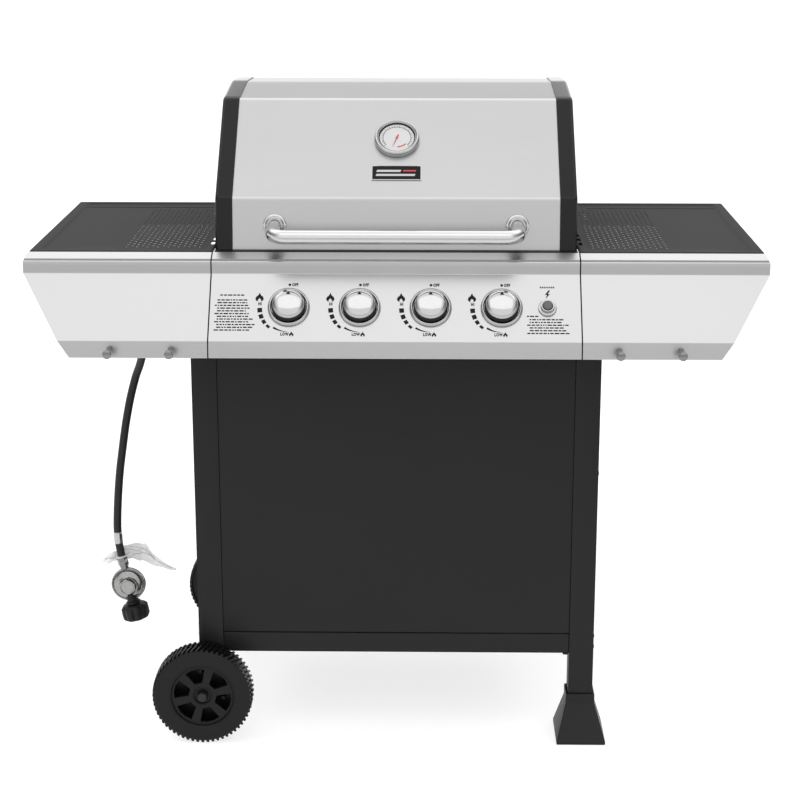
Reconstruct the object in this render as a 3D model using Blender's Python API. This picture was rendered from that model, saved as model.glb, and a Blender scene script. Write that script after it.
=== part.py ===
"""Gas barbecue grill on a wheeled cart, modelled as separate pieces.

Metres, +Z up. The front faces -Y and +X is the viewer's right. The origin is on the ground,
under the middle of the grill. A piece that turns or slides has its origin on its joint's axis.
"""
import math

import bmesh
import bpy
from mathutils import Vector

# ---------------------------------------------------------------- driving dimensions
GAP = 0.0003                  # clearance between pieces that touch
SHEET = 0.0012                # stainless and painted sheet
PLATE = 0.0020                # firebox and bracket plate

HALF_WIDTH = 0.610            # to the outer end of a side shelf's fascia
BODY_HALF = 0.3012            # control panel, firebox and front panel
SHELF_TOP = 0.867
SHELF_FRONT = -0.198
SHELF_REAR = 0.281
SHELF_HALF = 0.604
SHELF_RIM = 0.022

# Front of the control panel and the fascias, seen from the side: (y, z) from the top down.
LEDGE = (-0.1985, 0.8655)
BAND_TOP = (-0.223, 0.856)
SLOPE_TOP = (-0.223, 0.8345)
SLOPE_FOOT = (-0.299, 0.739)
BAND_FOOT = (-0.302, 0.711)
FASCIA_FOOT_HALF = 0.5255     # half width at the bottom of the fascia's slanted end

LEG_OUTER = 0.3440
LEG_INNER = 0.3015
LEG_WALL = 0.0015
FRONT_LEG_Y = (-0.188, -0.148)
REAR_LEG_Y = (0.249, 0.289)
LEG_TOP = SHELF_TOP - SHELF_RIM - GAP
SHELF_LEVEL = 0.189           # top of the bottom shelf
RAIL_HEIGHT = 0.035

FOOT_HALF = 0.0425
FOOT_REACH = 0.044            # how far a foot stands out in front of its leg
FOOT_BACK = 0.016
FOOT_COLLAR = 0.004
FOOT_NECK = 0.068
FOOT_TOP = 0.088
FOOT_FLOOR = 0.020            # thickness under the leg

WHEEL_RADIUS = 0.0875
WHEEL_WIDTH = 0.041
AXLE_X = -0.336
AXLE_RADIUS = 0.006
FRONT_WHEEL_Y = -0.192        # inner face of the front wheel
REAR_WHEEL_Y = 0.300          # inner face of the rear wheel
HUB_DEPTH = 0.0345            # from a wheel's inner face to the seat of its nut
NUT_LENGTH = 0.0122

LID_HALF = 0.2965             # over the end caps
CAP_WIDTH = 0.0287
CAP_SKIN = 0.0020
CAP_PLATE = 0.0025
LID_FOOT = (-0.182, 0.8665)
LID_LOWER_CREASE = (-0.171, 0.951)
LID_UPPER_CREASE = (-0.0085, 1.097)
LID_CROWN = (0.135, 1.1105)
LID_REAR_CREST = (0.277, 1.103)
LID_REAR_FOOT = (0.289, 0.8665)
SHELL_REAR_FOOT = 0.905
HINGE = (0.275, 0.892)        # hinge axis (y, z)
HINGE_RADIUS = 0.004

HANDLE_RADIUS = 0.0115
HANDLE_HALF = 0.200
HANDLE_ROOT_Z = 0.9055
HANDLE_Z = 0.900
HANDLE_STANDOFF = 0.075
HANDLE_BEND = 0.024
ROSETTE_RADIUS = 0.01925

FIREBOX_FRONT = -0.165
FIREBOX_REAR = 0.270
FIREBOX_TOP = 0.862
GRATE_LEDGE = 0.8345
HOPPER_TOP = 0.715
HOPPER_FOOT = 0.672

KNOB_PITCH = 0.115
KNOB_POSITIONS = [KNOB_PITCH * (i - 1.5) for i in range(4)]
IGNITER_X = 0.2466
PANEL_HOLE = 0.008
MANIFOLD = (-0.208, 0.748)    # gas manifold axis (y, z)
MANIFOLD_RADIUS = 0.009
BURNER_RADIUS = 0.0125

HOOK_POSITIONS = [-0.460, -0.361, 0.361, 0.460]
HOOK_Z = 0.727
HOOK_TILT = math.radians(7)

HOSE_RADIUS = 0.0065
# The hose leaves the manifold's left end, dives behind the fascia and hangs beside the cart.
HOSE_ROUTE = [
    (-0.3356, -0.208, 0.748), (-0.362, -0.208, 0.748), (-0.390, -0.199, 0.746), (-0.415, -0.170, 0.733),
    (-0.432, -0.125, 0.707), (-0.443, -0.080, 0.673), (-0.4509, -0.050, 0.636), (-0.4588, -0.039, 0.614),
    (-0.4719, -0.038, 0.570), (-0.4816, -0.038, 0.526), (-0.4887, -0.038, 0.4815), (-0.4958, -0.038, 0.4366),
    (-0.5003, -0.038, 0.3915), (-0.5039, -0.038, 0.346), (-0.5045, -0.038, 0.323), (-0.5031, -0.038, 0.300),
    (-0.4995, -0.038, 0.2762)]
REGULATOR = (-0.4886, -0.038, 0.2209)
REGULATOR_TILT = math.radians(-11.5)
REGULATOR_RADIUS = 0.031

# colour, roughness, metallic
FINISHES = {
    "stainless": ((0.72, 0.72, 0.71), 0.32, 1.0),
    "chrome": ((0.82, 0.82, 0.82), 0.12, 1.0),
    "black_enamel": ((0.035, 0.035, 0.037), 0.42, 0.0),
    "shelf_enamel": ((0.075, 0.075, 0.078), 0.50, 0.0),
    "black_plastic": ((0.022, 0.022, 0.023), 0.55, 0.0),
    "cast_iron": ((0.045, 0.043, 0.042), 0.70, 0.6),
    "zinc": ((0.55, 0.55, 0.54), 0.38, 1.0),
    "brass": ((0.62, 0.50, 0.28), 0.35, 1.0),
    "rubber": ((0.030, 0.030, 0.031), 0.62, 0.0),
    "clear_film": ((0.85, 0.85, 0.86), 0.30, 0.0),
}


# ---------------------------------------------------------------- outlines and routes
def rounded(points, radius, steps=4):
    """The open polyline with each inner corner replaced by an arc, in two or three dimensions."""
    points = [Vector(point) for point in points]
    result = [points[0]]
    for before, corner, after in zip(points, points[1:], points[2:]):
        back, forward = (before - corner).normalized(), (after - corner).normalized()
        half = back.angle(forward) / 2
        setback = radius / math.tan(half)
        centre = corner + (back + forward).normalized() * (radius / math.sin(half))
        start, end = corner + back * setback - centre, corner + forward * setback - centre
        sweep = start.angle(end)
        for i in range(steps + 1):
            t = i / steps
            ray = (start * math.sin((1 - t) * sweep) + end * math.sin(t * sweep)) / math.sin(sweep)
            result.append(centre + ray)
    result.append(points[-1])
    return result


def inset(points, distance):
    """The open polyline moved to its right-hand side by a distance, with mitred corners."""
    points = [Vector(point) for point in points]
    normals = []
    for a, b in zip(points, points[1:]):
        along = (b - a).normalized()
        normals.append(Vector((along.y, -along.x)))
    result = [points[0] + normals[0] * distance]
    for point, before, after in zip(points[1:-1], normals, normals[1:]):
        middle = (before + after).normalized()
        result.append(point + middle * (distance / middle.dot(before)))
    result.append(points[-1] + normals[-1] * distance)
    return result


def smooth_route(route, spacing):
    """Points about one spacing apart on the smooth curve through the route's points."""
    route = [Vector(point) for point in route]
    route = [route[0] * 2 - route[1]] + route + [route[-1] * 2 - route[-2]]
    points = []
    for p0, p1, p2, p3 in zip(route, route[1:], route[2:], route[3:]):
        steps = max(1, round((p2 - p1).length / spacing))
        for i in range(steps):
            t = i / steps
            points.append((p1 * 2 + (p2 - p0) * t + (p0 * 2 - p1 * 5 + p2 * 4 - p3) * t * t
                           + (p1 * 3 - p0 - p2 * 3 + p3) * t * t * t) / 2)
    return points + [route[-2]]


# ---------------------------------------------------------------- solids
def finished(bm):
    """The bmesh as a mesh with its faces pointing out."""
    bmesh.ops.recalc_face_normals(bm, faces=bm.faces)
    mesh = bpy.data.meshes.new("solid")
    bm.to_mesh(mesh)
    bm.free()
    return mesh


def bridged(loops, ring=False):
    """A solid through loops of points: capped at both ends, or closed on itself as a ring."""
    bm = bmesh.new()
    rows = [[bm.verts.new(point) for point in loop] for loop in loops]
    pairs = list(zip(rows, rows[1:]))
    if ring:
        pairs.append((rows[-1], rows[0]))
    for low, high in pairs:
        count = max(len(low), len(high))
        for i in range(count):
            j = (i + 1) % count
            corners = [low[i % len(low)], low[j % len(low)], high[j % len(high)], high[i % len(high)]]
            bm.faces.new(list(dict.fromkeys(corners)))
    if not ring:
        for row in (rows[0], rows[-1]):
            if len(row) > 2:
                bm.faces.new(row)
    return finished(bm)


def prism(outline, low, high, axis="X"):
    """An outline extruded from low to high along an axis; it lies in the other two, in order."""
    place = {"X": lambda p, d: (d, p[0], p[1]), "Y": lambda p, d: (p[0], d, p[1]),
             "Z": lambda p, d: (p[0], p[1], d)}[axis]
    return bridged([[place(point, depth) for point in outline] for depth in (low, high)])


def box(x, y, z):
    return prism([(x[0], y[0]), (x[1], y[0]), (x[1], y[1]), (x[0], y[1])], z[0], z[1], "Z")


def rectangle(half_x, y0, y1, z, centre_x=0.0):
    left, right = centre_x - half_x, centre_x + half_x
    return [(left, y0, z), (right, y0, z), (right, y1, z), (left, y1, z)]


def turned(profile, segments, ring=False):
    """A profile of (radius, height) points turned about local Z; a ring closes on itself."""
    loops = []
    for radius, height in profile:
        if radius == 0:
            loops.append([(0, 0, height)])
            continue
        angles = [2 * math.pi * (i + 0.5) / segments for i in range(segments)]
        loops.append([(radius * math.cos(a), radius * math.sin(a), height) for a in angles])
    return bridged(loops, ring)


def swept(points, radius, sides):
    """A round tube along points, with flat ends."""
    tangents = []
    for i in range(len(points)):
        tangents.append((points[min(i + 1, len(points) - 1)] - points[max(i - 1, 0)]).normalized())
    side = tangents[0].orthogonal().normalized()
    loops = []
    for point, tangent in zip(points, tangents):
        side = (side - tangent * side.dot(tangent)).normalized()
        other = tangent.cross(side)
        angles = [2 * math.pi * i / sides for i in range(sides)]
        loops.append([point + side * (radius * math.cos(a)) + other * (radius * math.sin(a)) for a in angles])
    return bridged(loops)


def slotted_plate(x, y, z, slots, bar, rim):
    """A flat grid of bars along Y: slots between the bars, and a rim at the front and the rear."""
    pitch = (x[1] - x[0] - bar) / slots
    edges = []
    for i in range(slots + 1):
        edges += [x[0] + i * pitch, x[0] + i * pitch + bar]
    rows = [y[0], y[0] + rim, y[1] - rim, y[1]]
    bm = bmesh.new()
    grid = [[bm.verts.new((across, along, z[0])) for across in edges] for along in rows]
    for j in range(len(rows) - 1):
        for i in range(len(edges) - 1):
            if j == 1 and i % 2 == 1:
                continue
            bm.faces.new([grid[j][i], grid[j][i + 1], grid[j + 1][i + 1], grid[j + 1][i]])
    raised = bmesh.ops.extrude_face_region(bm, geom=bm.faces[:])
    top = [item for item in raised["geom"] if isinstance(item, bmesh.types.BMVert)]
    bmesh.ops.translate(bm, verts=top, vec=(0, 0, z[1] - z[0]))
    return finished(bm)


# ---------------------------------------------------------------- objects
def finish_material(name, finish):
    colour, roughness, metallic = FINISHES[finish]
    material = bpy.data.materials.new(name)
    material.use_nodes = True
    shader = material.node_tree.nodes["Principled BSDF"]
    shader.inputs["Base Color"].default_value = (*colour, 1)
    shader.inputs["Roughness"].default_value = roughness
    shader.inputs["Metallic"].default_value = metallic
    return material


def piece(name, mesh, finish, location=(0, 0, 0), rotation=(0, 0, 0), smooth=False):
    """One sub-part: a named object with its own material."""
    obj = bpy.data.objects.new(name, mesh)
    bpy.context.scene.collection.objects.link(obj)
    obj.location = location
    obj.rotation_euler = rotation
    mesh.materials.append(finish_material(name, finish))
    if smooth:
        mesh.shade_smooth()
        mesh.set_sharp_from_angle(angle=math.radians(35))
    return obj


def boolean(target, mesh, operation, location=(0, 0, 0), rotation=(0, 0, 0)):
    """Cuts a solid out of the target, or joins it on, and hides the tool."""
    tool = bpy.data.objects.new("tool_" + target.name, mesh)
    bpy.context.scene.collection.objects.link(tool)
    tool.location = location
    tool.rotation_euler = rotation
    tool.hide_render = True
    tool.display_type = "WIRE"
    modifier = target.modifiers.new(operation.title(), "BOOLEAN")
    modifier.operation = operation
    modifier.solver = "EXACT"
    modifier.object = tool
    return tool


def cylinder(radius, low, high, segments=16):
    return turned([(0, low), (radius, low), (radius, high), (0, high)], segments)


def rod(radius, start, end, segments=16):
    """A cylinder between two points, as a mesh and the place that puts it there."""
    start, end = Vector(start), Vector(end)
    turn = (end - start).to_track_quat("Z", "Y").to_euler()
    return cylinder(radius, 0, (end - start).length, segments), start, turn


ALONG_Y = (math.radians(-90), 0, 0)       # local Z points to +Y
AGAINST_Y = (math.radians(90), 0, 0)      # local Z points to -Y
ALONG_X = (0, math.radians(90), 0)        # local Z points to +X


def panel_frame():
    """Middle of the sloped band of the panel, and the turn that points local Z out of it."""
    middle = (Vector(SLOPE_TOP) + Vector(SLOPE_FOOT)) / 2
    down = Vector(SLOPE_FOOT) - Vector(SLOPE_TOP)
    return middle, (math.atan2(-down.y, -down.x), 0, 0)


def lid_profile():
    corners = [LID_FOOT, LID_LOWER_CREASE, LID_UPPER_CREASE, LID_CROWN, LID_REAR_CREST, LID_REAR_FOOT]
    bends = [0.012, 0.022, 0.180, 0.022]
    points = [Vector(corners[0])]
    for before, corner, after, radius in zip(corners, corners[1:], corners[2:], bends):
        middle = rounded([before, corner, after], radius, 3)[1:-1]
        points += middle
    return points + [Vector(corners[-1])]


# ---------------------------------------------------------------- cart
def make_legs():
    for side, sign in (("left", -1), ("right", 1)):
        for end, (y0, y1) in (("front", FRONT_LEG_Y), ("rear", REAR_LEG_Y)):
            foot = 0.060 if sign < 0 else FOOT_FLOOR + GAP
            centre, half = sign * (LEG_OUTER + LEG_INNER) / 2, (LEG_OUTER - LEG_INNER) / 2
            outer = [rectangle(half, y0, y1, z, centre) for z in (foot, LEG_TOP)]
            inner = [rectangle(half - LEG_WALL, y0 + LEG_WALL, y1 - LEG_WALL, z, centre)
                     for z in (LEG_TOP, foot)]
            leg = piece(f"leg_{end}_{side}", bridged(outer + inner, ring=True), "black_enamel")
            if sign < 0:
                boolean(leg, cylinder(AXLE_RADIUS + GAP, -0.01, 0.06), "DIFFERENCE",
                        (AXLE_X, y0, WHEEL_RADIUS), ALONG_Y)


def make_feet():
    centre, half = (LEG_OUTER + LEG_INNER) / 2, (LEG_OUTER - LEG_INNER) / 2
    for end, (y0, y1), reach_front, reach_back in (("front", FRONT_LEG_Y, FOOT_REACH, FOOT_BACK),
                                                   ("rear", REAR_LEG_Y, FOOT_BACK, FOOT_REACH)):
        base = [rectangle(FOOT_HALF, y0 - reach_front, y1 + reach_back, z, centre) for z in (0, 0.005)]
        collar = [rectangle(half + FOOT_COLLAR, y0 - FOOT_COLLAR, y1 + FOOT_COLLAR, z, centre)
                  for z in (FOOT_NECK, FOOT_TOP)]
        socket = [rectangle(half + GAP, y0 - GAP, y1 + GAP, z, centre) for z in (FOOT_TOP, FOOT_FLOOR)]
        piece(f"foot_{end}_right", bridged(base + collar + socket), "black_plastic")


def make_cart_panels():
    front, flange = FRONT_LEG_Y[0] + 0.002, 0.015
    low, high = SHELF_LEVEL + 0.0005, 0.722
    outer = [rectangle(BODY_HALF, low, high, 0)]
    face = [(x, z) for x, z, _ in outer[0]]
    hollow = [(x - math.copysign(SHEET, x), z + (SHEET if z == low else -SHEET)) for x, z in face]
    loops = [[(x, front, z) for x, z in face], [(x, front + flange, z) for x, z in face],
             [(x, front + flange, z) for x, z in hollow], [(x, front + SHEET, z) for x, z in hollow]]
    piece("front_panel", bridged(loops), "black_enamel")

    y0, y1, foot = FRONT_LEG_Y[0] + 0.0015, REAR_LEG_Y[1] - 0.0015, SHELF_LEVEL - RAIL_HEIGHT
    loops = [rectangle(BODY_HALF, y0, y1, SHELF_LEVEL), rectangle(BODY_HALF, y0, y1, foot),
             rectangle(BODY_HALF - LEG_WALL, y0 + LEG_WALL, y1 - LEG_WALL, foot),
             rectangle(BODY_HALF - LEG_WALL, y0 + LEG_WALL, y1 - LEG_WALL, SHELF_LEVEL - LEG_WALL)]
    piece("bottom_shelf", bridged(loops), "black_enamel")


def make_braces():
    y0, y1 = FRONT_LEG_Y[1] + GAP, REAR_LEG_Y[0] - GAP
    centre, half, level = (LEG_OUTER + LEG_INNER) / 2, 0.009, 0.460
    for side, sign in (("left", -1), ("right", 1)):
        loops = []
        for wall, ends in ((0, (y0, y1)), (LEG_WALL, (y1, y0))):
            left, right = sign * centre - half + wall, sign * centre + half - wall
            low, high = level + wall, level + RAIL_HEIGHT - wall
            loops += [[(left, y, low), (right, y, low), (right, y, high), (left, y, high)] for y in ends]
        piece(f"side_rail_{side}", bridged(loops, ring=True), "black_enamel")
    loops = []
    for wall, ends in ((0, (-BODY_HALF, BODY_HALF)), (LEG_WALL, (BODY_HALF, -BODY_HALF))):
        y0, y1, low, high = 0.259 + wall, 0.279 - wall, 0.560 + wall, 0.560 + RAIL_HEIGHT - wall
        loops += [[(x, y0, low), (x, y1, low), (x, y1, high), (x, y0, high)] for x in ends]
    piece("rear_brace", bridged(loops, ring=True), "black_enamel")


def wheel_mesh(segments=36):
    rim = WHEEL_RADIUS / math.cos(math.pi / segments)
    bore, width = AXLE_RADIUS + GAP, WHEEL_WIDTH
    profile = [(bore, 0), (0.0125, 0), (0.0125, 0.030), (0.0815, 0.030), (0.0815, 0),
               (rim - 0.002, 0), (rim, 0.002), (rim, width - 0.002), (rim - 0.002, width),
               (0.0545, width), (0.0545, 0.037), (0.0165, 0.037), (0.0165, HUB_DEPTH), (bore, HUB_DEPTH)]
    return turned(profile, segments, ring=True)


def window_mesh():
    """Six wedges that cut the openings between a wheel's spokes."""
    bm = bmesh.new()
    for i in range(6):
        middle = math.radians(45 + 60 * i)
        rows = []
        for depth in (0.025, 0.045):
            row = []
            for radius, spread in ((0.024, -0.28), (0.049, -0.36), (0.049, 0), (0.049, 0.36), (0.024, 0.28)):
                angle = middle + spread
                row.append(bm.verts.new((radius * math.cos(angle), radius * math.sin(angle), depth)))
            rows.append(row)
        for j in range(5):
            bm.faces.new([rows[0][j], rows[0][j - 1], rows[1][j - 1], rows[1][j]])
        bm.faces.new(rows[0])
        bm.faces.new(rows[1])
    return finished(bm)


def make_wheels():
    centre = WHEEL_RADIUS
    for end, y, turn, sign in (("front", FRONT_WHEEL_Y, AGAINST_Y, -1), ("rear", REAR_WHEEL_Y, ALONG_Y, 1)):
        wheel = piece(f"wheel_{end}", wheel_mesh(), "black_plastic", (AXLE_X, y, centre), turn, smooth=True)
        boolean(wheel, window_mesh(), "DIFFERENCE", wheel.location, turn)
        seat = y + sign * (HUB_DEPTH + 0.0005)
        bore, reach, length = (AXLE_RADIUS + GAP) / math.cos(math.pi / 6), 0.0065, NUT_LENGTH
        nut = turned([(0, reach), (bore, reach), (bore, 0), (0.0105, 0), (0.0105, 0.006),
                      (0.0085, length - 0.002), (0, length)], 6)
        piece(f"axle_nut_{end}", nut, "zinc", (AXLE_X, seat, centre), turn)
    start = FRONT_WHEEL_Y - HUB_DEPTH - 0.0060
    end = REAR_WHEEL_Y + HUB_DEPTH + 0.0060
    piece("wheel_axle", cylinder(AXLE_RADIUS, 0, end - start), "zinc", (AXLE_X, start, centre), ALONG_Y,
          smooth=True)


# ---------------------------------------------------------------- side shelves
def make_shelves():
    for side, sign in (("left", -1), ("right", 1)):
        centre, half = sign * (SHELF_HALF + LEG_INNER) / 2, (SHELF_HALF - LEG_INNER) / 2
        low, inner = SHELF_TOP - SHELF_RIM, half - SHEET
        y0, y1 = SHELF_FRONT, SHELF_REAR
        loops = [rectangle(half, y0, y1, SHELF_TOP, centre), rectangle(half, y0, y1, low, centre),
                 rectangle(inner, y0 + SHEET, y1 - SHEET, low, centre),
                 rectangle(inner, y0 + SHEET, y1 - SHEET, SHELF_TOP - SHEET, centre)]
        piece(f"side_shelf_{side}", bridged(loops), "shelf_enamel")


def make_fascias():
    """Stainless boxes in front of the shelves, open to the back, with slanted outer ends."""
    skin = [LEDGE, BAND_TOP, SLOPE_TOP, SLOPE_FOOT, BAND_FOOT]
    lined = inset(skin, -SHEET)
    back, foot = LEDGE[0], BAND_FOOT[1]
    inside = lined[:-1] + [(lined[-1].x, foot + SHEET), (-0.286, foot + SHEET), (-0.286, foot - 0.01),
                           (back + 0.01, foot - 0.01), (back + 0.01, lined[0].y - 0.0008)]
    for side, sign in (("left", -1), ("right", 1)):
        near, far = sign * (BODY_HALF + 0.0005), sign * HALF_WIDTH
        shell = piece(f"shelf_fascia_{side}", prism(skin + [(back, foot)], near, far), "stainless")
        slant = [(sign * FASCIA_FOOT_HALF, foot), (far, SLOPE_TOP[1]), (far + sign * 0.02, SLOPE_TOP[1]),
                 (far + sign * 0.02, foot - 0.02), (sign * (FASCIA_FOOT_HALF - 0.0138), foot - 0.02)]
        boolean(shell, prism(slant, -0.40, -0.10, "Y"), "DIFFERENCE")
        wall = sign * SHEET
        rise = 0.02 * (HALF_WIDTH - FASCIA_FOOT_HALF) / (SLOPE_TOP[1] - foot)
        plan = [(near - wall, foot - 0.02), (sign * (FASCIA_FOOT_HALF - rise) - wall, foot - 0.02),
                (far - wall, SLOPE_TOP[1]), (far - wall, SHELF_TOP + 0.01), (near - wall, SHELF_TOP + 0.01)]
        hollow = boolean(shell, prism(inside, near - wall, far - wall), "DIFFERENCE")
        boolean(hollow, prism(plan, -0.40, -0.10, "Y"), "INTERSECT")
        for x in HOOK_POSITIONS:
            if x * sign > 0:
                boolean(shell, cylinder(0.0033, -0.012, 0.012, 12), "DIFFERENCE",
                        (x, BAND_FOOT[0], HOOK_Z), hook_turn())


def hook_turn():
    """Local Z out of the fascia, a little downhill."""
    return (math.radians(90) + HOOK_TILT, 0, 0)


def make_hooks():
    profile = [(0, -0.006), (0.0030, -0.006), (0.0030, 0.0022), (0.0042, 0.0022), (0.0042, 0.0390),
               (0.0080, 0.0390), (0.0080, 0.0425), (0.0060, 0.0448), (0, 0.0448)]
    for number, x in enumerate(HOOK_POSITIONS, 1):
        piece(f"tool_hook_{number}", turned(profile, 12), "chrome", (x, BAND_FOOT[0], HOOK_Z), hook_turn(),
              smooth=True)


# ---------------------------------------------------------------- control panel and gas train
def make_control_panel():
    skin = [(FIREBOX_FRONT - 0.0015, LEDGE[1]), LEDGE, BAND_TOP, SLOPE_TOP, SLOPE_FOOT, BAND_FOOT,
            (-0.286, BAND_FOOT[1])]
    lined = inset(skin, -SHEET)
    panel = piece("control_panel", prism(skin + lined[::-1], -BODY_HALF, BODY_HALF), "stainless")
    middle, turn = panel_frame()
    for x in KNOB_POSITIONS:
        boolean(panel, cylinder(PANEL_HOLE, -0.01, 0.01), "DIFFERENCE", (x, *middle), turn)
    boolean(panel, cylinder(0.0114, -0.01, 0.01, 20), "DIFFERENCE", (IGNITER_X, *middle), turn)


def make_gas_manifold():
    """One manifold pipe with four valve bodies; each valve has a bore for its stem and a jet."""
    y, z = MANIFOLD
    start, end = -0.335, 0.205
    manifold = piece("gas_manifold", cylinder(MANIFOLD_RADIUS, 0, end - start), "brass", (start, y, z), ALONG_X,
                     smooth=True)
    middle, turn = panel_frame()
    for x in KNOB_POSITIONS:
        boolean(manifold, box((-0.011, 0.011), (-0.012, 0.012), (-0.068, -0.030)), "UNION", (x, *middle), turn)
        boolean(manifold, cylinder(0.004, 0, 0.036, 10), "UNION", (x, y, z), ALONG_Y)
        boolean(manifold, cylinder(0.0034, -0.052, -0.020, 12), "DIFFERENCE", (x, *middle), turn)


def make_knobs():
    middle, turn = panel_frame()
    stem = [(0, -0.047), (0.0030, -0.047), (0.0030, 0.0130), (0, 0.0130)]
    knob = [(0, 0.0136), (0.0034, 0.0136), (0.0034, 0.0052), (0.0075, 0.0052), (0.0075, 0.0140),
            (0.0245, 0.0125), (0.0262, 0.0052), (0.0280, 0.0052), (0.0280, 0.0085), (0.0252, 0.0158),
            (0.0247, 0.0170), (0.0230, 0.0196), (0.0150, 0.0214), (0, 0.0222)]
    bezel = [(0.0290, GAP), (0.0290, 0.0048), (0.0308, 0.0062), (0.0335, 0.0045), (0.03425, GAP)]
    for number, x in enumerate(KNOB_POSITIONS, 1):
        place = (x, *middle)
        piece(f"valve_stem_{number}", turned(stem, 12), "brass", place, turn, smooth=True)
        piece(f"knob_{number}", turned(knob, 20), "chrome", place, turn, smooth=True)
        piece(f"knob_bezel_{number}", turned(bezel, 28, ring=True), "chrome", place, turn, smooth=True)


def make_igniter():
    middle, turn = panel_frame()
    place = (IGNITER_X, *middle)
    bore = 0.0083
    housing = [(0, -0.030), (0.0110, -0.030), (0.0110, GAP), (0.0150, GAP), (0.0150, 0.0022),
               (0.0112, 0.0036), (0.0108, 0.0100), (bore, 0.0110), (bore, -0.028), (0, -0.028)]
    button = [(0, -0.021), (0.0079, -0.021), (0.0079, 0.0130), (0.0060, 0.0142), (0, 0.0146)]
    piece("igniter_bezel", turned(housing, 20), "chrome", place, turn, smooth=True)
    piece("igniter_button", turned(button, 20), "black_plastic", place, turn, smooth=True)


# ---------------------------------------------------------------- firebox and what it holds
def make_firebox():
    front, rear, wall = FIREBOX_FRONT, FIREBOX_REAR, PLATE
    step, side_step = 0.013, 0.001
    half = BODY_HALF - side_step
    mouth = (0.150, 0.0, 0.100)
    outer = [rectangle(BODY_HALF, front, rear, FIREBOX_TOP),
             rectangle(BODY_HALF, front, rear, GRATE_LEDGE),
             rectangle(half, front + step, rear - step, GRATE_LEDGE),
             rectangle(half, front + step, rear - step, HOPPER_TOP),
             rectangle(*mouth, HOPPER_FOOT)]
    inner = [rectangle(mouth[0] - wall, mouth[1] + wall, mouth[2] - wall, HOPPER_FOOT + 0.001),
             rectangle(half - wall, front + step + wall, rear - step - wall, HOPPER_TOP + 0.001),
             rectangle(half - wall, front + step + wall, rear - step - wall, GRATE_LEDGE + wall),
             rectangle(BODY_HALF - wall, front + wall, rear - wall, GRATE_LEDGE + wall),
             rectangle(BODY_HALF - wall, front + wall, rear - wall, FIREBOX_TOP)]
    firebox = piece("firebox", bridged(outer + inner, ring=True), "black_enamel")
    for sign in (-1, 1):
        ear = [(HINGE[0] - 0.013, 0.838), (HINGE[0] + 0.012, 0.838), (HINGE[0] + 0.012, HINGE[1] + 0.005),
               (HINGE[0] + 0.005, HINGE[1] + 0.012), (HINGE[0] - 0.005, HINGE[1] + 0.012),
               (HINGE[0] - 0.013, HINGE[1] + 0.005)]
        boolean(firebox, prism(ear, sign * 0.2975, sign * (BODY_HALF - 0.0002)), "UNION")
        rail = [(sign * 0.1780, 0.6810), (sign * 0.1780, 0.6597), (sign * 0.1680, 0.6597),
                (sign * 0.1680, 0.6582), (sign * 0.1795, 0.6582), (sign * 0.1795, 0.6810)]
        boolean(firebox, prism(rail, 0.002, 0.240, "Y"), "UNION")
        boolean(firebox, cylinder(HINGE_RADIUS + GAP, 0.290, 0.310), "DIFFERENCE", (0, *HINGE),
                (0, sign * math.radians(90), 0))
    for x in KNOB_POSITIONS:
        boolean(firebox, cylinder(BURNER_RADIUS + 0.0005, -0.02, 0.02), "DIFFERENCE",
                (x, FIREBOX_FRONT + step, MANIFOLD[1]), ALONG_Y)


def make_burners():
    length, bore = 0.400, BURNER_RADIUS - 0.0015
    profile = [(0, length - 0.003), (bore, length - 0.003), (bore, 0), (BURNER_RADIUS, 0),
               (BURNER_RADIUS, length), (0, length)]
    for number, x in enumerate(KNOB_POSITIONS, 1):
        piece(f"burner_{number}", turned(profile, 14), "zinc", (x, -0.178, MANIFOLD[1]), ALONG_Y, smooth=True)


def make_grates():
    z = (GRATE_LEDGE + PLATE + GAP, GRATE_LEDGE + PLATE + GAP + 0.007)
    y = (FIREBOX_FRONT + PLATE + 0.001, FIREBOX_REAR - PLATE - 0.001)
    inner, outer = 0.001, BODY_HALF - PLATE - 0.0022
    piece("cooking_grate_left", slotted_plate((-outer, -inner), y, z, 15, 0.006, 0.009), "cast_iron")
    piece("cooking_grate_right", slotted_plate((inner, outer), y, z, 15, 0.006, 0.009), "cast_iron")

    half, y0, y1, top = 0.2850, 0.075, 0.205, 0.962
    rack = piece("warming_rack", slotted_plate((-half, half), (y0, y1), (top - 0.004, top), 20, 0.004, 0.005),
                 "chrome")
    for sign in (-1, 1):
        for y in (y0, y1 - 0.005):
            leg = box(sorted((sign * half, sign * (half - 0.004))), (y, y + 0.005), (z[1] + GAP, top - 0.001))
            boolean(rack, leg, "UNION")


def make_grease_tray():
    y0, y1 = -0.030, 0.285
    low, lip, wall = 0.640, 0.6600, SHEET
    loops = [rectangle(0.160, y0, y1, low), rectangle(0.160, y0, y1, lip),
             rectangle(0.1765, y0 - 0.006, y1 + 0.012, lip), rectangle(0.1765, y0 - 0.006, y1 + 0.012, lip + wall),
             rectangle(0.160 - wall, y0 + wall, y1 - wall, lip + wall),
             rectangle(0.160 - wall, y0 + wall, y1 - wall, low + wall)]
    piece("grease_tray", bridged(loops), "stainless")


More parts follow.
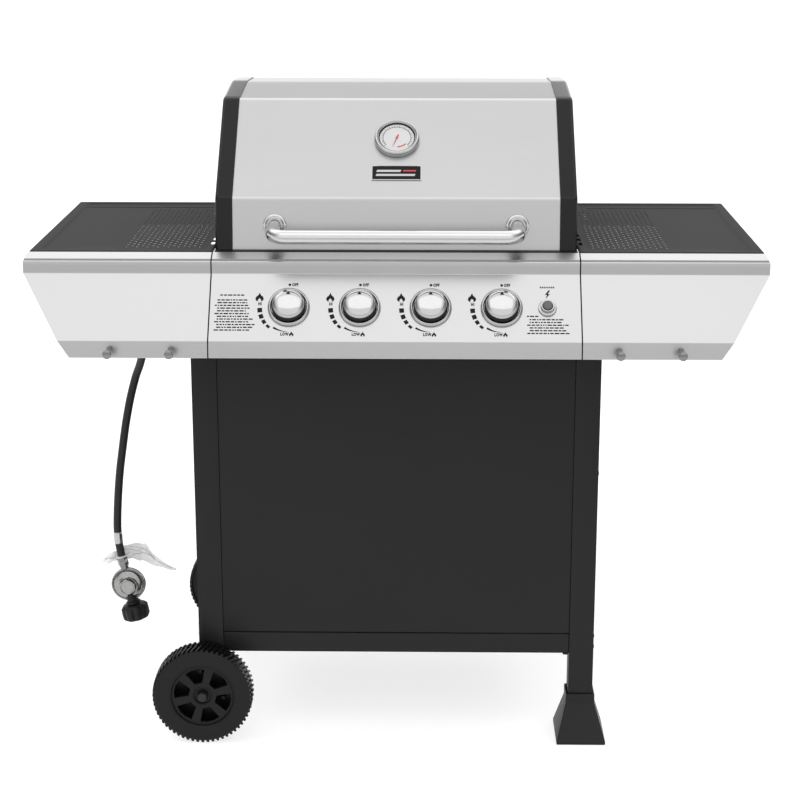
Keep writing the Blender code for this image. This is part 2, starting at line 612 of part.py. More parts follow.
# ---------------------------------------------------------------- lid
def make_lid():
    outline = lid_profile()
    plate = LID_HALF - CAP_PLATE
    inner = inset(outline, CAP_SKIN)
    for side, sign in (("left", -1), ("right", 1)):
        cap = piece(f"lid_cap_{side}", prism(outline, sign * (LID_HALF - CAP_WIDTH), sign * LID_HALF),
                    "black_enamel")
        room = [(inner[0].x, 0.80)] + inner + [(inner[-1].x, 0.80)]
        boolean(cap, prism(room, sign * 0.25, sign * plate), "DIFFERENCE")
        boolean(cap, cylinder(HINGE_RADIUS + GAP, 0.280, 0.310), "DIFFERENCE", (0, *HINGE),
                (0, sign * math.radians(90), 0))
        pin = [(0, 0.2890), (HINGE_RADIUS, 0.2890), (HINGE_RADIUS, 0.3014), (0.0065, 0.3014),
               (0.0065, 0.3040), (0, 0.3045)]
        piece(f"hinge_pin_{side}", turned(pin, 16), "zinc", (0, *HINGE), (0, sign * math.radians(90), 0),
              smooth=True)

    sheet = inset(outline, CAP_SKIN + GAP)
    above, below = sheet[-2:]
    sheet[-1] = above.lerp(below, (above.y - SHELL_REAR_FOOT) / (above.y - below.y))
    lined = inset(sheet, SHEET)
    shell = piece("lid_shell", prism(sheet + lined[::-1], -(plate - 0.0005), plate - 0.0005), "stainless")
    place, turn = thermometer_place()
    boolean(shell, cylinder(0.0034, -0.02, 0.02, 12), "DIFFERENCE", place, turn)


def thermometer_place():
    """Where the thermometer's axis meets the sloped face of the lid, and the turn out of it."""
    low, high = Vector(LID_LOWER_CREASE), Vector(LID_UPPER_CREASE)
    along = (high - low).normalized()
    seat = low.lerp(high, 0.576) + Vector((along.y, -along.x)) * (CAP_SKIN + GAP)
    return (0, *seat), (math.atan2(along.y, along.x), 0, 0)


def make_thermometer():
    profile = [(0, -0.038), (0.0030, -0.038), (0.0030, GAP), (0.03785, GAP), (0.03785, 0.0075),
               (0.0350, 0.0110), (0.0315, 0.0085), (0, 0.0085)]
    place, turn = thermometer_place()
    piece("thermometer", turned(profile, 28), "chrome", place, turn, smooth=True)


def make_lid_handle():
    """A bent tube with a round flange at each end, standing off the lower face of the lid."""
    low, high = Vector(LID_FOOT), Vector(LID_LOWER_CREASE)
    along = (high - low).normalized()
    root = low + along * ((HANDLE_ROOT_Z - low.y) / along.y)
    root += Vector((along.y, -along.x)) * (CAP_SKIN + GAP)
    bar_y = root.x - HANDLE_STANDOFF
    corners = [(HANDLE_HALF, root.x - 0.0025, HANDLE_ROOT_Z), (HANDLE_HALF, bar_y, HANDLE_Z),
               (-HANDLE_HALF, bar_y, HANDLE_Z), (-HANDLE_HALF, root.x - 0.0025, HANDLE_ROOT_Z)]
    path = rounded(corners, HANDLE_BEND, 5)
    handle = piece("lid_handle", swept(path, HANDLE_RADIUS, 14), "stainless", smooth=True)
    for sign in (-1, 1):
        boolean(handle, cylinder(ROSETTE_RADIUS, GAP, 0.0048, 20), "UNION",
                (sign * HANDLE_HALF, *root), (math.atan2(along.y, along.x), 0, 0))


# ---------------------------------------------------------------- hose, regulator and tag
def make_hose():
    curve = bpy.data.curves.new("gas_hose", "CURVE")
    curve.dimensions = "3D"
    curve.bevel_depth = HOSE_RADIUS
    curve.bevel_resolution = 2
    curve.use_fill_caps = True
    points = smooth_route(HOSE_ROUTE, 2 * HOSE_RADIUS)
    spline = curve.splines.new("POLY")
    spline.points.add(len(points) - 1)
    for slot, point in zip(spline.points, points):
        slot.co = (*point, 1)
    piece_on_curve = bpy.data.objects.new("gas_hose", curve)
    bpy.context.scene.collection.objects.link(piece_on_curve)
    curve.materials.append(finish_material("gas_hose", "rubber"))


def make_regulator():
    """A round regulator body facing the front, with an outlet at the top and an inlet neck below."""
    centre, tilt = Vector(REGULATOR), REGULATOR_TILT
    profile = [(0, -0.014), (0.024, -0.014), (REGULATOR_RADIUS, -0.004), (REGULATOR_RADIUS, 0.003),
               (0.0275, 0.006), (0.0155, 0.012), (0.0145, 0.019), (0, 0.019)]
    body = piece("regulator", turned(profile, 24), "zinc", centre, AGAINST_Y, smooth=True)
    up = Vector((math.sin(tilt), 0, math.cos(tilt)))
    outlet = rod(0.0080, centre + up * 0.020, centre + up * 0.0556, 12)
    boolean(body, outlet[0], "UNION", outlet[1], outlet[2])
    inlet = rod(0.0090, centre - up * 0.020, centre - up * 0.0370, 12)
    boolean(body, inlet[0], "UNION", inlet[1], inlet[2])


def make_coupling_nut():
    """The hand nut that screws on to a gas cylinder: six lobes, open at the lower end."""
    centre, tilt = Vector(REGULATOR), REGULATOR_TILT
    up = Vector((math.sin(tilt), 0, math.cos(tilt)))
    top = centre - up * 0.0373
    lobes, segments = 6, 36
    loops = []
    for reach, height in ((0.0170, 0), (0.0250, -0.006), (0.0250, -0.028), (0.0210, -0.033)):
        loop = []
        for i in range(segments):
            angle = 2 * math.pi * i / segments
            radius = reach * (1 - 0.05 * (1 - math.cos(lobes * angle)) / 2)
            loop.append((radius * math.cos(angle), radius * math.sin(angle), height))
        loops.append(loop)
    for height in (-0.033, -0.008):
        loops.append([(0.0150 * math.cos(2 * math.pi * i / segments), 0.0150 * math.sin(2 * math.pi * i / segments),
                       height) for i in range(segments)])
    piece("coupling_nut", bridged(loops), "black_plastic", top, up.to_track_quat("Z", "Y").to_euler(),
          smooth=True)


def make_hose_tag():
    """A folded strip of clear film behind the end of the hose."""
    spine = [(-0.5392, 0.2590), (-0.5240, 0.2660), (-0.5080, 0.2700), (-0.4880, 0.2760), (-0.4640, 0.2740),
             (-0.4400, 0.2600), (-0.4030, 0.2440)]
    depth = [0.006, 0.004, 0.000, 0.000, -0.008, 0.004, -0.006]
    reach = [0.003, 0.011, 0.009, 0.014, 0.017, 0.011, 0.003]
    back, thickness = REGULATOR[1] + 0.020, 0.0010
    loops = []
    for (x, z), y, half in zip(spine, depth, reach):
        loops.append([(x, back + y, z - half), (x, back + y, z + half),
                      (x, back + y + thickness, z + half), (x, back + y + thickness, z - half)])
    piece("hose_tag", bridged(loops), "clear_film")


def build():
    for obj in list(bpy.data.objects):
        bpy.data.objects.remove(obj, do_unlink=True)
    make_legs()
    make_feet()
    make_cart_panels()
    make_braces()
    make_wheels()
    make_shelves()
    make_fascias()
    make_hooks()
    make_control_panel()
    make_gas_manifold()
    make_knobs()
    make_igniter()
    make_firebox()
    make_burners()
    make_grates()
    make_grease_tray()
    make_lid()
    make_thermometer()
    make_lid_handle()
    make_hose()
    make_regulator()
    make_coupling_nut()
    make_hose_tag()


build()
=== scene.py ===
"""Gas barbecue grill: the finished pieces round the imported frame, with the camera, the light and the floor.

Metres, +Z up. The front faces -Y and +X is the viewer's right, as in the frame. Every piece is made in place.
"""
import random
from math import atan2, cos, pi, radians, sin, tan, tau

import bmesh
import bpy
from mathutils import Matrix, Vector
from mathutils.geometry import delaunay_2d_cdt


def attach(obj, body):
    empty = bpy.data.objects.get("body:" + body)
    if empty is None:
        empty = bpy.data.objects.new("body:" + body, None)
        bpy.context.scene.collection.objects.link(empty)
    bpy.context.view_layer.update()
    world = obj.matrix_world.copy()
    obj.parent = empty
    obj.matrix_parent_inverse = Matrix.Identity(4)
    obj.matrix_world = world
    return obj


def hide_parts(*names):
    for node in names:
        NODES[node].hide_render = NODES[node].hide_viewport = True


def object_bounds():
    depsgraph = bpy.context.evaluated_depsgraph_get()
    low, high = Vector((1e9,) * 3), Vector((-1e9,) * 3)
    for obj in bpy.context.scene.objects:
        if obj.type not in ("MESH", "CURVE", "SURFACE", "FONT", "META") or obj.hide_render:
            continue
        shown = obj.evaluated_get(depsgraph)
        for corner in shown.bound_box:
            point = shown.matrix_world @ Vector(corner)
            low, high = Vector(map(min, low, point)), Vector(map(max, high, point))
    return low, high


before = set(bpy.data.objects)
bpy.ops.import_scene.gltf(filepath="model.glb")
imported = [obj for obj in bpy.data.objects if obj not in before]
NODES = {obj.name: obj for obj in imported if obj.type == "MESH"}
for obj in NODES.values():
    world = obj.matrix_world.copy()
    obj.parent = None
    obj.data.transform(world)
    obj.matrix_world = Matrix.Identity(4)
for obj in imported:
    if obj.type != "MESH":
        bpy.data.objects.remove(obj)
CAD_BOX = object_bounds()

SIDES = (("left", -1), ("right", 1))

# ---- dimensions shared with the frame
GAP = 0.0003
SHEET = 0.0012
HALF_WIDTH = 0.61
BODY_HALF = 0.3012
SHELF_HALF = 0.604
SHELF_TOP = 0.867
SHELF_RIM = 0.022
SHELF_Y = (-0.198, 0.281)
LEG_OUTER, LEG_INNER = 0.344, 0.3015
FRONT_LEG_Y, REAR_LEG_Y = (-0.188, -0.148), (0.249, 0.289)

LEDGE = (-0.1985, 0.8655)
BAND_TOP = (-0.223, 0.856)
SLOPE_TOP = (-0.223, 0.8345)
SLOPE_FOOT = (-0.299, 0.739)
BAND_FOOT = (-0.302, 0.711)
FASCIA_FOOT_HALF = 0.5255

WHEEL_RADIUS = 0.0875
AXLE_X = -0.336

LID_HALF = 0.2985
CAP_WIDTH = 0.0287
CAP_SKIN = 0.002
CAP_PLATE = 0.0025
LID_CORNERS = [(-0.182, 0.8665), (-0.171, 0.951), (-0.0085, 1.097), (0.135, 1.1105), (0.277, 1.103),
               (0.289, 0.8665)]
LID_BENDS = [(0.012, 5), (0.022, 7), (0.18, 12), (0.022, 7)]
SHELL_REAR_FOOT = 0.905
SHELL_OFFSET = CAP_SKIN + GAP

KNOB_POSITIONS = [0.115 * (i - 1.5) for i in range(4)]
IGNITER_X = 0.2466
GRATE_TOP = 0.8438

HOOK_POSITIONS = [-0.46, -0.361, 0.361, 0.46]
HOOK_Z = 0.727

HOSE_RADIUS = 0.0072
HOSE_ROUTE = [
    (-0.3356, -0.208, 0.748), (-0.36, -0.2075, 0.748), (-0.384, -0.197, 0.7455), (-0.406, -0.17, 0.735),
    (-0.4225, -0.131, 0.712), (-0.436, -0.089, 0.6795), (-0.4498, -0.054, 0.6385), (-0.4612, -0.039, 0.61),
    (-0.4724, -0.037, 0.57), (-0.4816, -0.038, 0.526), (-0.489, -0.038, 0.4815), (-0.4958, -0.038, 0.4366),
    (-0.5007, -0.038, 0.3915), (-0.504, -0.038, 0.346), (-0.5045, -0.038, 0.323), (-0.5031, -0.038, 0.3),
    (-0.4995, -0.038, 0.2762)]
REGULATOR = Vector((-0.4886, -0.038, 0.2209))
REGULATOR_TILT = radians(-11.5)
REGULATOR_UP = Vector((sin(REGULATOR_TILT), 0, cos(REGULATOR_TILT)))
REGULATOR_TURN = REGULATOR_UP.to_track_quat("Z", "Y").to_matrix()

# The camera as solved from the photo, and the floor's and the sky's light.
LENS, SENSOR = 85.5, 36
CAMERA = (0.0535, -3.266, 1.47)
CAMERA_DOWN, CAMERA_TURN = radians(15.585), radians(0.87)
FLOOR_GREY_FROM, FLOOR_PALE_FROM, FLOOR_GREY = -3.0, -1.0, 0.64
FLOOR_GLOW = 1.75
SKY_STRENGTH = 1.48
LAMP, LAMP_AIM = (0, -1.5, 3.4), (0, -0.1, 0.9)
LAMP_SIZE, LAMP_RADIANCE = (3.6, 1.6), 0.56


def with_settings(made, **settings):
    for name, value in settings.items():
        setattr(made, name, value)
    return made


# ---- outlines and routes
def rounded(points, radius, steps=4, share=1.0):
    """The open polyline with its inner corners as arcs that take at most a share of each side's length."""
    points = [Vector(point) for point in points]
    result = [points[0]]
    for before, corner, after in zip(points, points[1:], points[2:]):
        back, forward = (before - corner).normalized(), (after - corner).normalized()
        half = back.angle(forward) / 2
        setback = min(radius / tan(half), *(share * (end - corner).length for end in (before, after)))
        centre = corner + (back + forward).normalized() * (setback / cos(half))
        start, end = corner + back * setback - centre, corner + forward * setback - centre
        sweep = start.angle(end)
        for i in range(steps + 1):
            t = i / steps
            ray = (start * sin((1 - t) * sweep) + end * sin(t * sweep)) / sin(sweep)
            result.append(centre + ray)
    result.append(points[-1])
    return result


def inset(points, distance):
    """The open polyline moved to its right-hand side by a distance, with mitred corners."""
    points = [Vector(point) for point in points]
    normals = []
    for a, b in zip(points, points[1:]):
        along = (b - a).normalized()
        normals.append(Vector((along.y, -along.x)))
    result = [points[0] + normals[0] * distance]
    for point, before, after in zip(points[1:-1], normals, normals[1:]):
        middle = (before + after).normalized()
        result.append(point + middle * (distance / middle.dot(before)))
    result.append(points[-1] + normals[-1] * distance)
    return result


def smooth_route(route, spacing):
    """Points about one spacing apart on the smooth curve through the route's points."""
    route = [Vector(point) for point in route]
    route = [route[0] * 2 - route[1]] + route + [route[-1] * 2 - route[-2]]
    points = []
    for p0, p1, p2, p3 in zip(route, route[1:], route[2:], route[3:]):
        steps = max(1, round((p2 - p1).length / spacing))
        for i in range(steps):
            t = i / steps
            points.append((p1 * 2 + (p2 - p0) * t + (p0 * 2 - p1 * 5 + p2 * 4 - p3) * t * t
                           + (p1 * 3 - p0 - p2 * 3 + p3) * t * t * t) / 2)
    return points + [route[-2]]


def mm(*points):
    """Points given in millimetres, as tuples in metres."""
    return [tuple(value / 1000 for value in point) for point in points]


def polar(radius, angle, centre=(0, 0)):
    return centre[0] + radius * cos(angle), centre[1] + radius * sin(angle)


def circle(radius, count, centre=(0, 0), start=0.0):
    return [polar(radius, start + tau * i / count, centre) for i in range(count)]


def rounded_box(x0, x1, y0, y1, radius, steps=4):
    """Corners of a rectangle with round corners, anticlockwise."""
    points = []
    for x, y, start in ((x1 - radius, y1 - radius, 0), (x0 + radius, y1 - radius, 90),
                        (x0 + radius, y0 + radius, 180), (x1 - radius, y0 + radius, 270)):
        points += [polar(radius, radians(start + 90 * i / steps), (x, y)) for i in range(steps + 1)]
    return points


# ---- meshes
def finished(bm, weld=False):
    if weld:
        bmesh.ops.remove_doubles(bm, verts=bm.verts, dist=1e-6)
    bmesh.ops.recalc_face_normals(bm, faces=bm.faces)
    mesh = bpy.data.meshes.new("piece")
    bm.to_mesh(mesh)
    bm.free()
    return mesh


def stitched(bm, low, high, closed=True):
    """Faces between two rows of vertices; a row of one vertex is a pole."""
    count = max(len(low), len(high))
    for i in range(count if closed else count - 1):
        j = (i + 1) % count
        corners = [low[i % len(low)], low[j % len(low)], high[j % len(high)], high[i % len(high)]]
        bm.faces.new(list(dict.fromkeys(corners)))


def bridged(loops, ring=False, caps=True, closed=True):
    """Faces through loops of points: capped at both ends, closed on itself as a ring, or open."""
    bm = bmesh.new()
    rows = [[bm.verts.new(point) for point in loop] for loop in loops]
    pairs = list(zip(rows, rows[1:]))
    if ring:
        pairs.append((rows[-1], rows[0]))
    for low, high in pairs:
        stitched(bm, low, high, closed)
    if caps and not ring:
        for row in (rows[0], rows[-1]):
            if len(row) > 2:
                bm.faces.new(row)
    return finished(bm)


def prism(outline, low, high, axis="X"):
    """An outline extruded from low to high along an axis; it lies in the other two, in order."""
    place = {"X": lambda p, d: (d, p[0], p[1]), "Y": lambda p, d: (p[0], d, p[1]),
             "Z": lambda p, d: (p[0], p[1], d)}[axis]
    return bridged([[place(point, depth) for point in outline] for depth in (low, high)])


def turned(profile, segments, ring=False, shape=None):
    """A profile of (radius, height) points turned about local Z; shape(angle, height) scales the radius."""
    loops = []
    for radius, height in profile:
        angles = [tau * (i + 0.5) / segments for i in range(segments if radius else 0)]
        loops.append([(*polar(radius * (shape(angle, height) if shape else 1), angle), height)
                      for angle in angles] or [(0, 0, height)])
    return bridged(loops, ring)


def swept(points, radius, sides=16, closed=False):
    """A round bar along points; radius is a number or one for each point."""
    points = [Vector(point) for point in points]
    count = len(points)
    radii = radius if isinstance(radius, (list, tuple)) else [radius] * count
    tangents = []
    for i in range(count):
        after = points[(i + 1) % count] if closed else points[min(i + 1, count - 1)]
        before = points[i - 1] if closed else points[max(i - 1, 0)]
        tangents.append((after - before).normalized())
    side = tangents[0].orthogonal().normalized()
    loops = []
    for point, tangent, reach in zip(points, tangents, radii):
        side = (side - tangent * side.dot(tangent)).normalized()
        other = tangent.cross(side)
        loops.append([point + side * (reach * cos(tau * i / sides))
                      + other * (reach * sin(tau * i / sides)) for i in range(sides)])
    return bridged(loops, ring=closed)


def pierced(bm, outline, holes, lift, creases=()):
    """Triangles over an outline, with convex holes left out; lift(x, y, loop) gives each point's place.

    Loop 0 is the outline, then come the holes and then the creases. Returns the loops' vertices.
    """
    points, edges, owner = [], [], []
    loops = [outline, *holes, *creases]
    for number, loop in enumerate(loops):
        start = len(points)
        points += [Vector(point) for point in loop]
        owner += [number] * len(loop)
        edges += [(start + i, start + (i + 1) % len(loop)) for i in range(len(loop))]
    flat, _, faces, origins, _, _ = delaunay_2d_cdt(points, edges, [], 0, 1e-7)
    made = {}
    for index, (point, origin) in enumerate(zip(flat, origins)):
        made[index] = bm.verts.new(lift(point.x, point.y, owner[origin[0]]))
    new_of_old = {old: index for index, origin in enumerate(origins) for old in origin}
    for face in faces:
        owners = {owner[origins[index][0]] for index in face}
        if len(owners) == 1 and 1 <= min(owners) <= len(holes):
            continue
        bm.faces.new([made[index] for index in face])
    result, start = [], 0
    for loop in loops:
        result.append([made[new_of_old[start + i]] for i in range(len(loop))])
        start += len(loop)
    return result


def plate(outline, holes, low, high):
    """A flat plate from low to high along local Z, with convex holes."""
    bm = bmesh.new()
    sides = [pierced(bm, outline, holes, lambda x, y, loop, z=z: (x, y, z)) for z in (low, high)]
    for bottom, top in zip(*sides):
        stitched(bm, bottom, top)
    return finished(bm)


def placed(mesh, location=(0, 0, 0), rotation=None):
    turn = rotation.to_4x4() if rotation else Matrix.Identity(4)
    mesh.transform(Matrix.Translation(location) @ turn)
    return mesh


def joined(meshes):
    """One mesh made of several, each one an island of its own."""
    bm = bmesh.new()
    for mesh in meshes:
        bm.from_mesh(mesh)
        bpy.data.meshes.remove(mesh)
    return finished(bm)


# Each of these turns local Z that way.
OUT_OF_FRONT, OUT_OF_BACK = [Matrix.Rotation(radians(angle), 3, "X") for angle in (90, -90)]
TO_RIGHT, TO_LEFT = [Matrix.Rotation(radians(angle), 3, "Y") for angle in (90, -90)]

SLOPE_DOWN = Vector(SLOPE_FOOT) - Vector(SLOPE_TOP)
SLOPE_TURN = Matrix.Rotation(atan2(-SLOPE_DOWN.y, -SLOPE_DOWN.x), 3, "X")
SLOPE_MIDDLE = (Vector(SLOPE_TOP) + Vector(SLOPE_FOOT)) / 2
LID_FACE = Vector(LID_CORNERS[2]) - Vector(LID_CORNERS[1])
LID_TURN = Matrix.Rotation(atan2(LID_FACE.y, LID_FACE.x), 3, "X")


def on_slope(mesh, x=0.0):
    """The mesh moved to the middle of the panel's slope, its local Z out of it and its local Y up it."""
    return placed(mesh, (x, *SLOPE_MIDDLE), SLOPE_TURN)


def on_lid(mesh, share):
    """The mesh moved to the lid shell's sloped face, a share of the way up it."""
    along = LID_FACE.normalized()
    y, z = Vector(LID_CORNERS[1]) + LID_FACE * share - Vector((-along.y, along.x)) * SHELL_OFFSET
    return placed(mesh, (0, y, z), LID_TURN)


def facing(mesh, axis, sign):
    """The mesh with its faces turned so that as a whole they look along an axis, or against it."""
    if sign * sum(face.normal[axis] * face.area for face in mesh.polygons) < 0:
        mesh.flip_normals()
    return mesh


# ---- materials
def node(tree, kind, inputs, **settings):
    """A new shader node; inputs gives its sockets a value, or another node's output to follow."""
    made = with_settings(tree.nodes.new("ShaderNode" + kind), **settings)
    for socket, value in inputs.items():
        if isinstance(value, bpy.types.NodeSocket):
            tree.links.new(value, made.inputs[socket])
        else:
            made.inputs[socket].default_value = value
    return made


def span(tree, value, low, high, start=0.0, end=1.0, kind="SMOOTHSTEP"):
    """The value's course from low to high, as one from start to end."""
    return node(tree, "MapRange", {"Value": value, "From Min": low, "From Max": high, "To Min": start,
                                   "To Max": end}, interpolation_type=kind).outputs["Result"]


def scaled(tree, colour, factor):
    return node(tree, "VectorMath", {"Vector": colour, "Scale": factor}, operation="SCALE").outputs["Vector"]


def surface(name, colour, roughness, metallic, mottle, tint, swing, grain, bump, depth=0.0001, fine=0.5,
            **constants):
    """A Principled material with broad mottling, a fine grain in colour, gloss and relief.

    mottle and grain are the noises' repeats per metre, one number or one each for X, Y and Z.
    """
    made = bpy.data.materials.new(name)
    made.use_nodes = True
    tree = made.node_tree
    shader = tree.nodes["Principled BSDF"].inputs
    place = node(tree, "TexCoord", {}).outputs["Object"]

    def noise(scale, detail):
        scale = scale if isinstance(scale, tuple) else (scale,) * 3
        spot = node(tree, "Mapping", {"Vector": place, "Scale": scale}).outputs["Vector"]
        return node(tree, "TexNoise", {"Vector": spot, "Scale": 1.0, "Detail": detail}).outputs["Fac"]

    broad, small = noise(mottle, 4), noise(grain, 2)
    both = node(tree, "Mix", {"Factor": fine, "A": broad, "B": small}, data_type="FLOAT").outputs["Result"]
    colour = colour if isinstance(colour, tuple) else (colour,) * 3
    dark, light = [(*(min(1.0, channel * share) for channel in colour), 1) for share in (1 - tint, 1 + tint)]
    blend = node(tree, "Mix", {"Factor": span(tree, both, 0.3, 0.7, kind="LINEAR"), 6: dark, 7: light},
                 data_type="RGBA")
    tree.links.new(blend.outputs[2], shader["Base Color"])
    gloss = span(tree, both, 0.3, 0.7, roughness - swing, roughness + swing, "LINEAR")
    tree.links.new(gloss, shader["Roughness"])
    relief = node(tree, "Bump", {"Strength": bump, "Distance": depth, "Height": small})
    tree.links.new(relief.outputs["Normal"], shader["Normal"])
    shader["Metallic"].default_value = metallic
    for socket, value in constants.items():
        shader[SOCKETS[socket]].default_value = value
    return made


SOCKETS = {"specular": "Specular IOR Level", "alpha": "Alpha"}

# Name, colour, roughness, metallic, mottle, tint, swing, grain and bump, then what only some of them have.
LOOKS = {
    "steel": surface("brushed_steel", 0.45, 0.3, 1, (2.4, 5, 5), 0.035, 0.03, (30, 2200, 2200), 0.05,
                     fine=0.55),
    "handle": surface("handle_steel", 0.54, 0.17, 1, (4, 30, 30), 0.05, 0.05, (40, 1200, 1200), 0.04),
    "chrome": surface("chrome", 0.48, 0.09, 1, 60, 0.03, 0.04, 900, 0.02),
    "satin": surface("satin_chrome", 0.46, 0.24, 1, 60, 0.1, 0.07, 700, 0.1),
    "enamel": surface("black_enamel", (0.0108, 0.0108, 0.0111), 0.42, 0, 5, 0.1, 0.05, 520, 0.16,
                      specular=0.19),
    "cap": surface("cap_enamel", (0.004, 0.004, 0.0042), 0.14, 0, 6, 0.1, 0.03, 420, 0.03, specular=0.24),
    "shelf": surface("shelf_enamel", (0.0365, 0.0365, 0.0373), 0.62, 0, 4, 0.12, 0.05, 520, 0.2,
                     specular=0.055),
    "plastic": surface("black_plastic", (0.0072, 0.0072, 0.0076), 0.46, 0, 20, 0.12, 0.06, 900, 0.14,
                       specular=0.25),
    "tyre": surface("tyre_plastic", (0.0062, 0.0062, 0.0065), 0.36, 0, 30, 0.14, 0.07, 1100, 0.16,
                    specular=0.2),
    "iron": surface("grate_enamel", (0.035, 0.034, 0.033), 0.55, 0.2, 40, 0.25, 0.1, 600, 0.35, 0.0002),
    "heat": surface("heated_steel", (0.46, 0.42, 0.37), 0.42, 1, (16, 5, 16), 0.3, 0.1, (500, 60, 500), 0.15),
    "zinc": surface("zinc_plate", (0.42, 0.42, 0.415), 0.28, 1, 120, 0.12, 0.08, 1500, 0.1),
    "cast": surface("cast_zinc", (0.32, 0.32, 0.317), 0.24, 1, 420, 0.2, 0.1, 500, 0.45, 0.0002),
    "brass": surface("brass", (0.66, 0.52, 0.28), 0.32, 1, 90, 0.14, 0.08, 1200, 0.12),
    "rubber": surface("hose_rubber", (0.011, 0.011, 0.0115), 0.5, 0, (40, 40, 25), 0.18, 0.07,
                      (1000, 1000, 400), 0.2, specular=0.3),
    "film": surface("clear_film", (0.84, 0.84, 0.85), 0.2, 0, 110, 0.1, 0.1, 300, 0.35, 0.0004, alpha=0.72),
    # Grey for the tag's crease lines: painted shade of the folds, not a colour of the film.
    "crease_shade": surface("film_crease_shade", (0.3, 0.3, 0.31), 0.35, 0, 200, 0.25, 0.08, 900, 0.1),
    "ink": surface("panel_ink", (0.01, 0.01, 0.0105), 0.5, 0, 200, 0.15, 0.05, 2000, 0.05, specular=0.1),
    "pale_ink": surface("pale_ink", (0.06, 0.06, 0.062), 0.5, 0, 200, 0.15, 0.05, 2000, 0.05, specular=0.1),
    "grey": surface("grey_plastic", (0.085, 0.085, 0.088), 0.35, 0, 90, 0.12, 0.06, 1500, 0.08),
    "oxide": surface("dark_oxide", (0.03, 0.03, 0.031), 0.4, 0.8, 120, 0.2, 0.08, 1500, 0.14),
    "peg": surface("peg_chrome", 0.22, 0.11, 1, 60, 0.06, 0.05, 900, 0.03),
    "dial": surface("dial_card", 0.56, 0.45, 0, 60, 0.03, 0.05, 1500, 0.03),
    "red": surface("needle_red", (0.55, 0.035, 0.04), 0.38, 0, 90, 0.1, 0.05, 1500, 0.03),
}


def floor_paint():
    """A pale, softly lit table that turns greyer far in front of the object."""
    made = surface("floor_paint", 0.42, 0.7, 0, 1.2, 0.012, 0.04, 60, 0.02, specular=0.1)
    tree = made.node_tree
    shader = tree.nodes["Principled BSDF"].inputs
    split = node(tree, "SeparateXYZ", {"Vector": node(tree, "TexCoord", {}).outputs["Object"]})
    reach = span(tree, split.outputs["Y"], FLOOR_GREY_FROM, FLOOR_PALE_FROM, FLOOR_GREY)
    shade = scaled(tree, shader["Base Color"].links[0].from_socket, reach)
    for socket in ("Base Color", "Emission Color"):
        tree.links.new(shade, shader[socket])
    shader["Emission Strength"].default_value = FLOOR_GLOW
    return made


# ---- pieces
def linked(name, data, **settings):
    obj = with_settings(bpy.data.objects.new(name, data), **settings)
    bpy.context.scene.collection.objects.link(obj)
    return obj


def add(name, mesh, look, replaces=(), body="root", slot=None, smooth=35, bevel=0.0, segments=2, solid=0.0):
    """One finished piece that rides on a body; it may replace nodes of the frame."""
    obj = linked(name, mesh)
    mesh.materials.clear()
    mesh.materials.append(LOOKS[look])
    if bevel:
        with_settings(obj.modifiers.new("Bevel", "BEVEL"), width=bevel, segments=segments, limit_method="ANGLE",
                      angle_limit=radians(30), harden_normals=True)
    if solid:
        with_settings(obj.modifiers.new("Solidify", "SOLIDIFY"), thickness=solid, offset=-1)
    if smooth:
        mesh.shade_smooth()
        if not bevel:
            mesh.set_sharp_from_angle(angle=radians(smooth))
            obj.modifiers.new("Even shading", "WEIGHTED_NORMAL").keep_sharp = True
    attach(obj, body)
    if replaces:
        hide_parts(*replaces)
    return obj


def softened(source, look, width, segments, body="root", moved=None):
    """A copy of a node's shape with rounded edges, in place of the node; moved(z) shifts its heights."""
    bm = bmesh.new()
    bm.from_mesh(NODES[source].data)
    bmesh.ops.remove_doubles(bm, verts=bm.verts, dist=1e-6)
    if moved:
        for vert in bm.verts:
            vert.co.z = moved(vert.co.z)
    bmesh.ops.dissolve_limit(bm, angle_limit=radians(0.5), verts=bm.verts, edges=bm.edges)
    add(source + "_finished", finished(bm), look, [source], body, bevel=width, segments=segments)


def pan_head(radius, height):
    """A round screw head, standing on local Z."""
    return turned([(0, 0), (radius, 0), (radius * 0.98, height * 0.45), (radius * 0.8, height * 0.82),
                   (radius * 0.45, height), (0, height)], 20)


# ---- camera and cord
def make_camera():
    data = with_settings(bpy.data.cameras.new("camera"), sensor_width=SENSOR, lens=LENS, clip_end=300)
    bpy.context.scene.camera = linked("camera", data, location=CAMERA,
                                      rotation_euler=(radians(90) - CAMERA_DOWN, 0, CAMERA_TURN))


def on_hose(start, end, profile, sides):
    """A collar on the hose between two distances from its end; profile is (share, radius) pairs."""
    line = smooth_route(HOSE_ROUTE, 0.002)[::-1]
    travelled, picks = 0.0, []
    for a, b in zip(line, line[1:]):
        if start <= travelled <= end:
            picks.append(a)
        travelled += (b - a).length
    radii = []
    for i in range(len(picks)):
        share = i / (len(picks) - 1)
        (s0, r0), (s1, r1) = next(pair for pair in zip(profile, profile[1:]) if share <= pair[1][0])
        radii.append(r0 + (r1 - r0) * (share - s0) / (s1 - s0))
    return swept(picks, radii, sides)


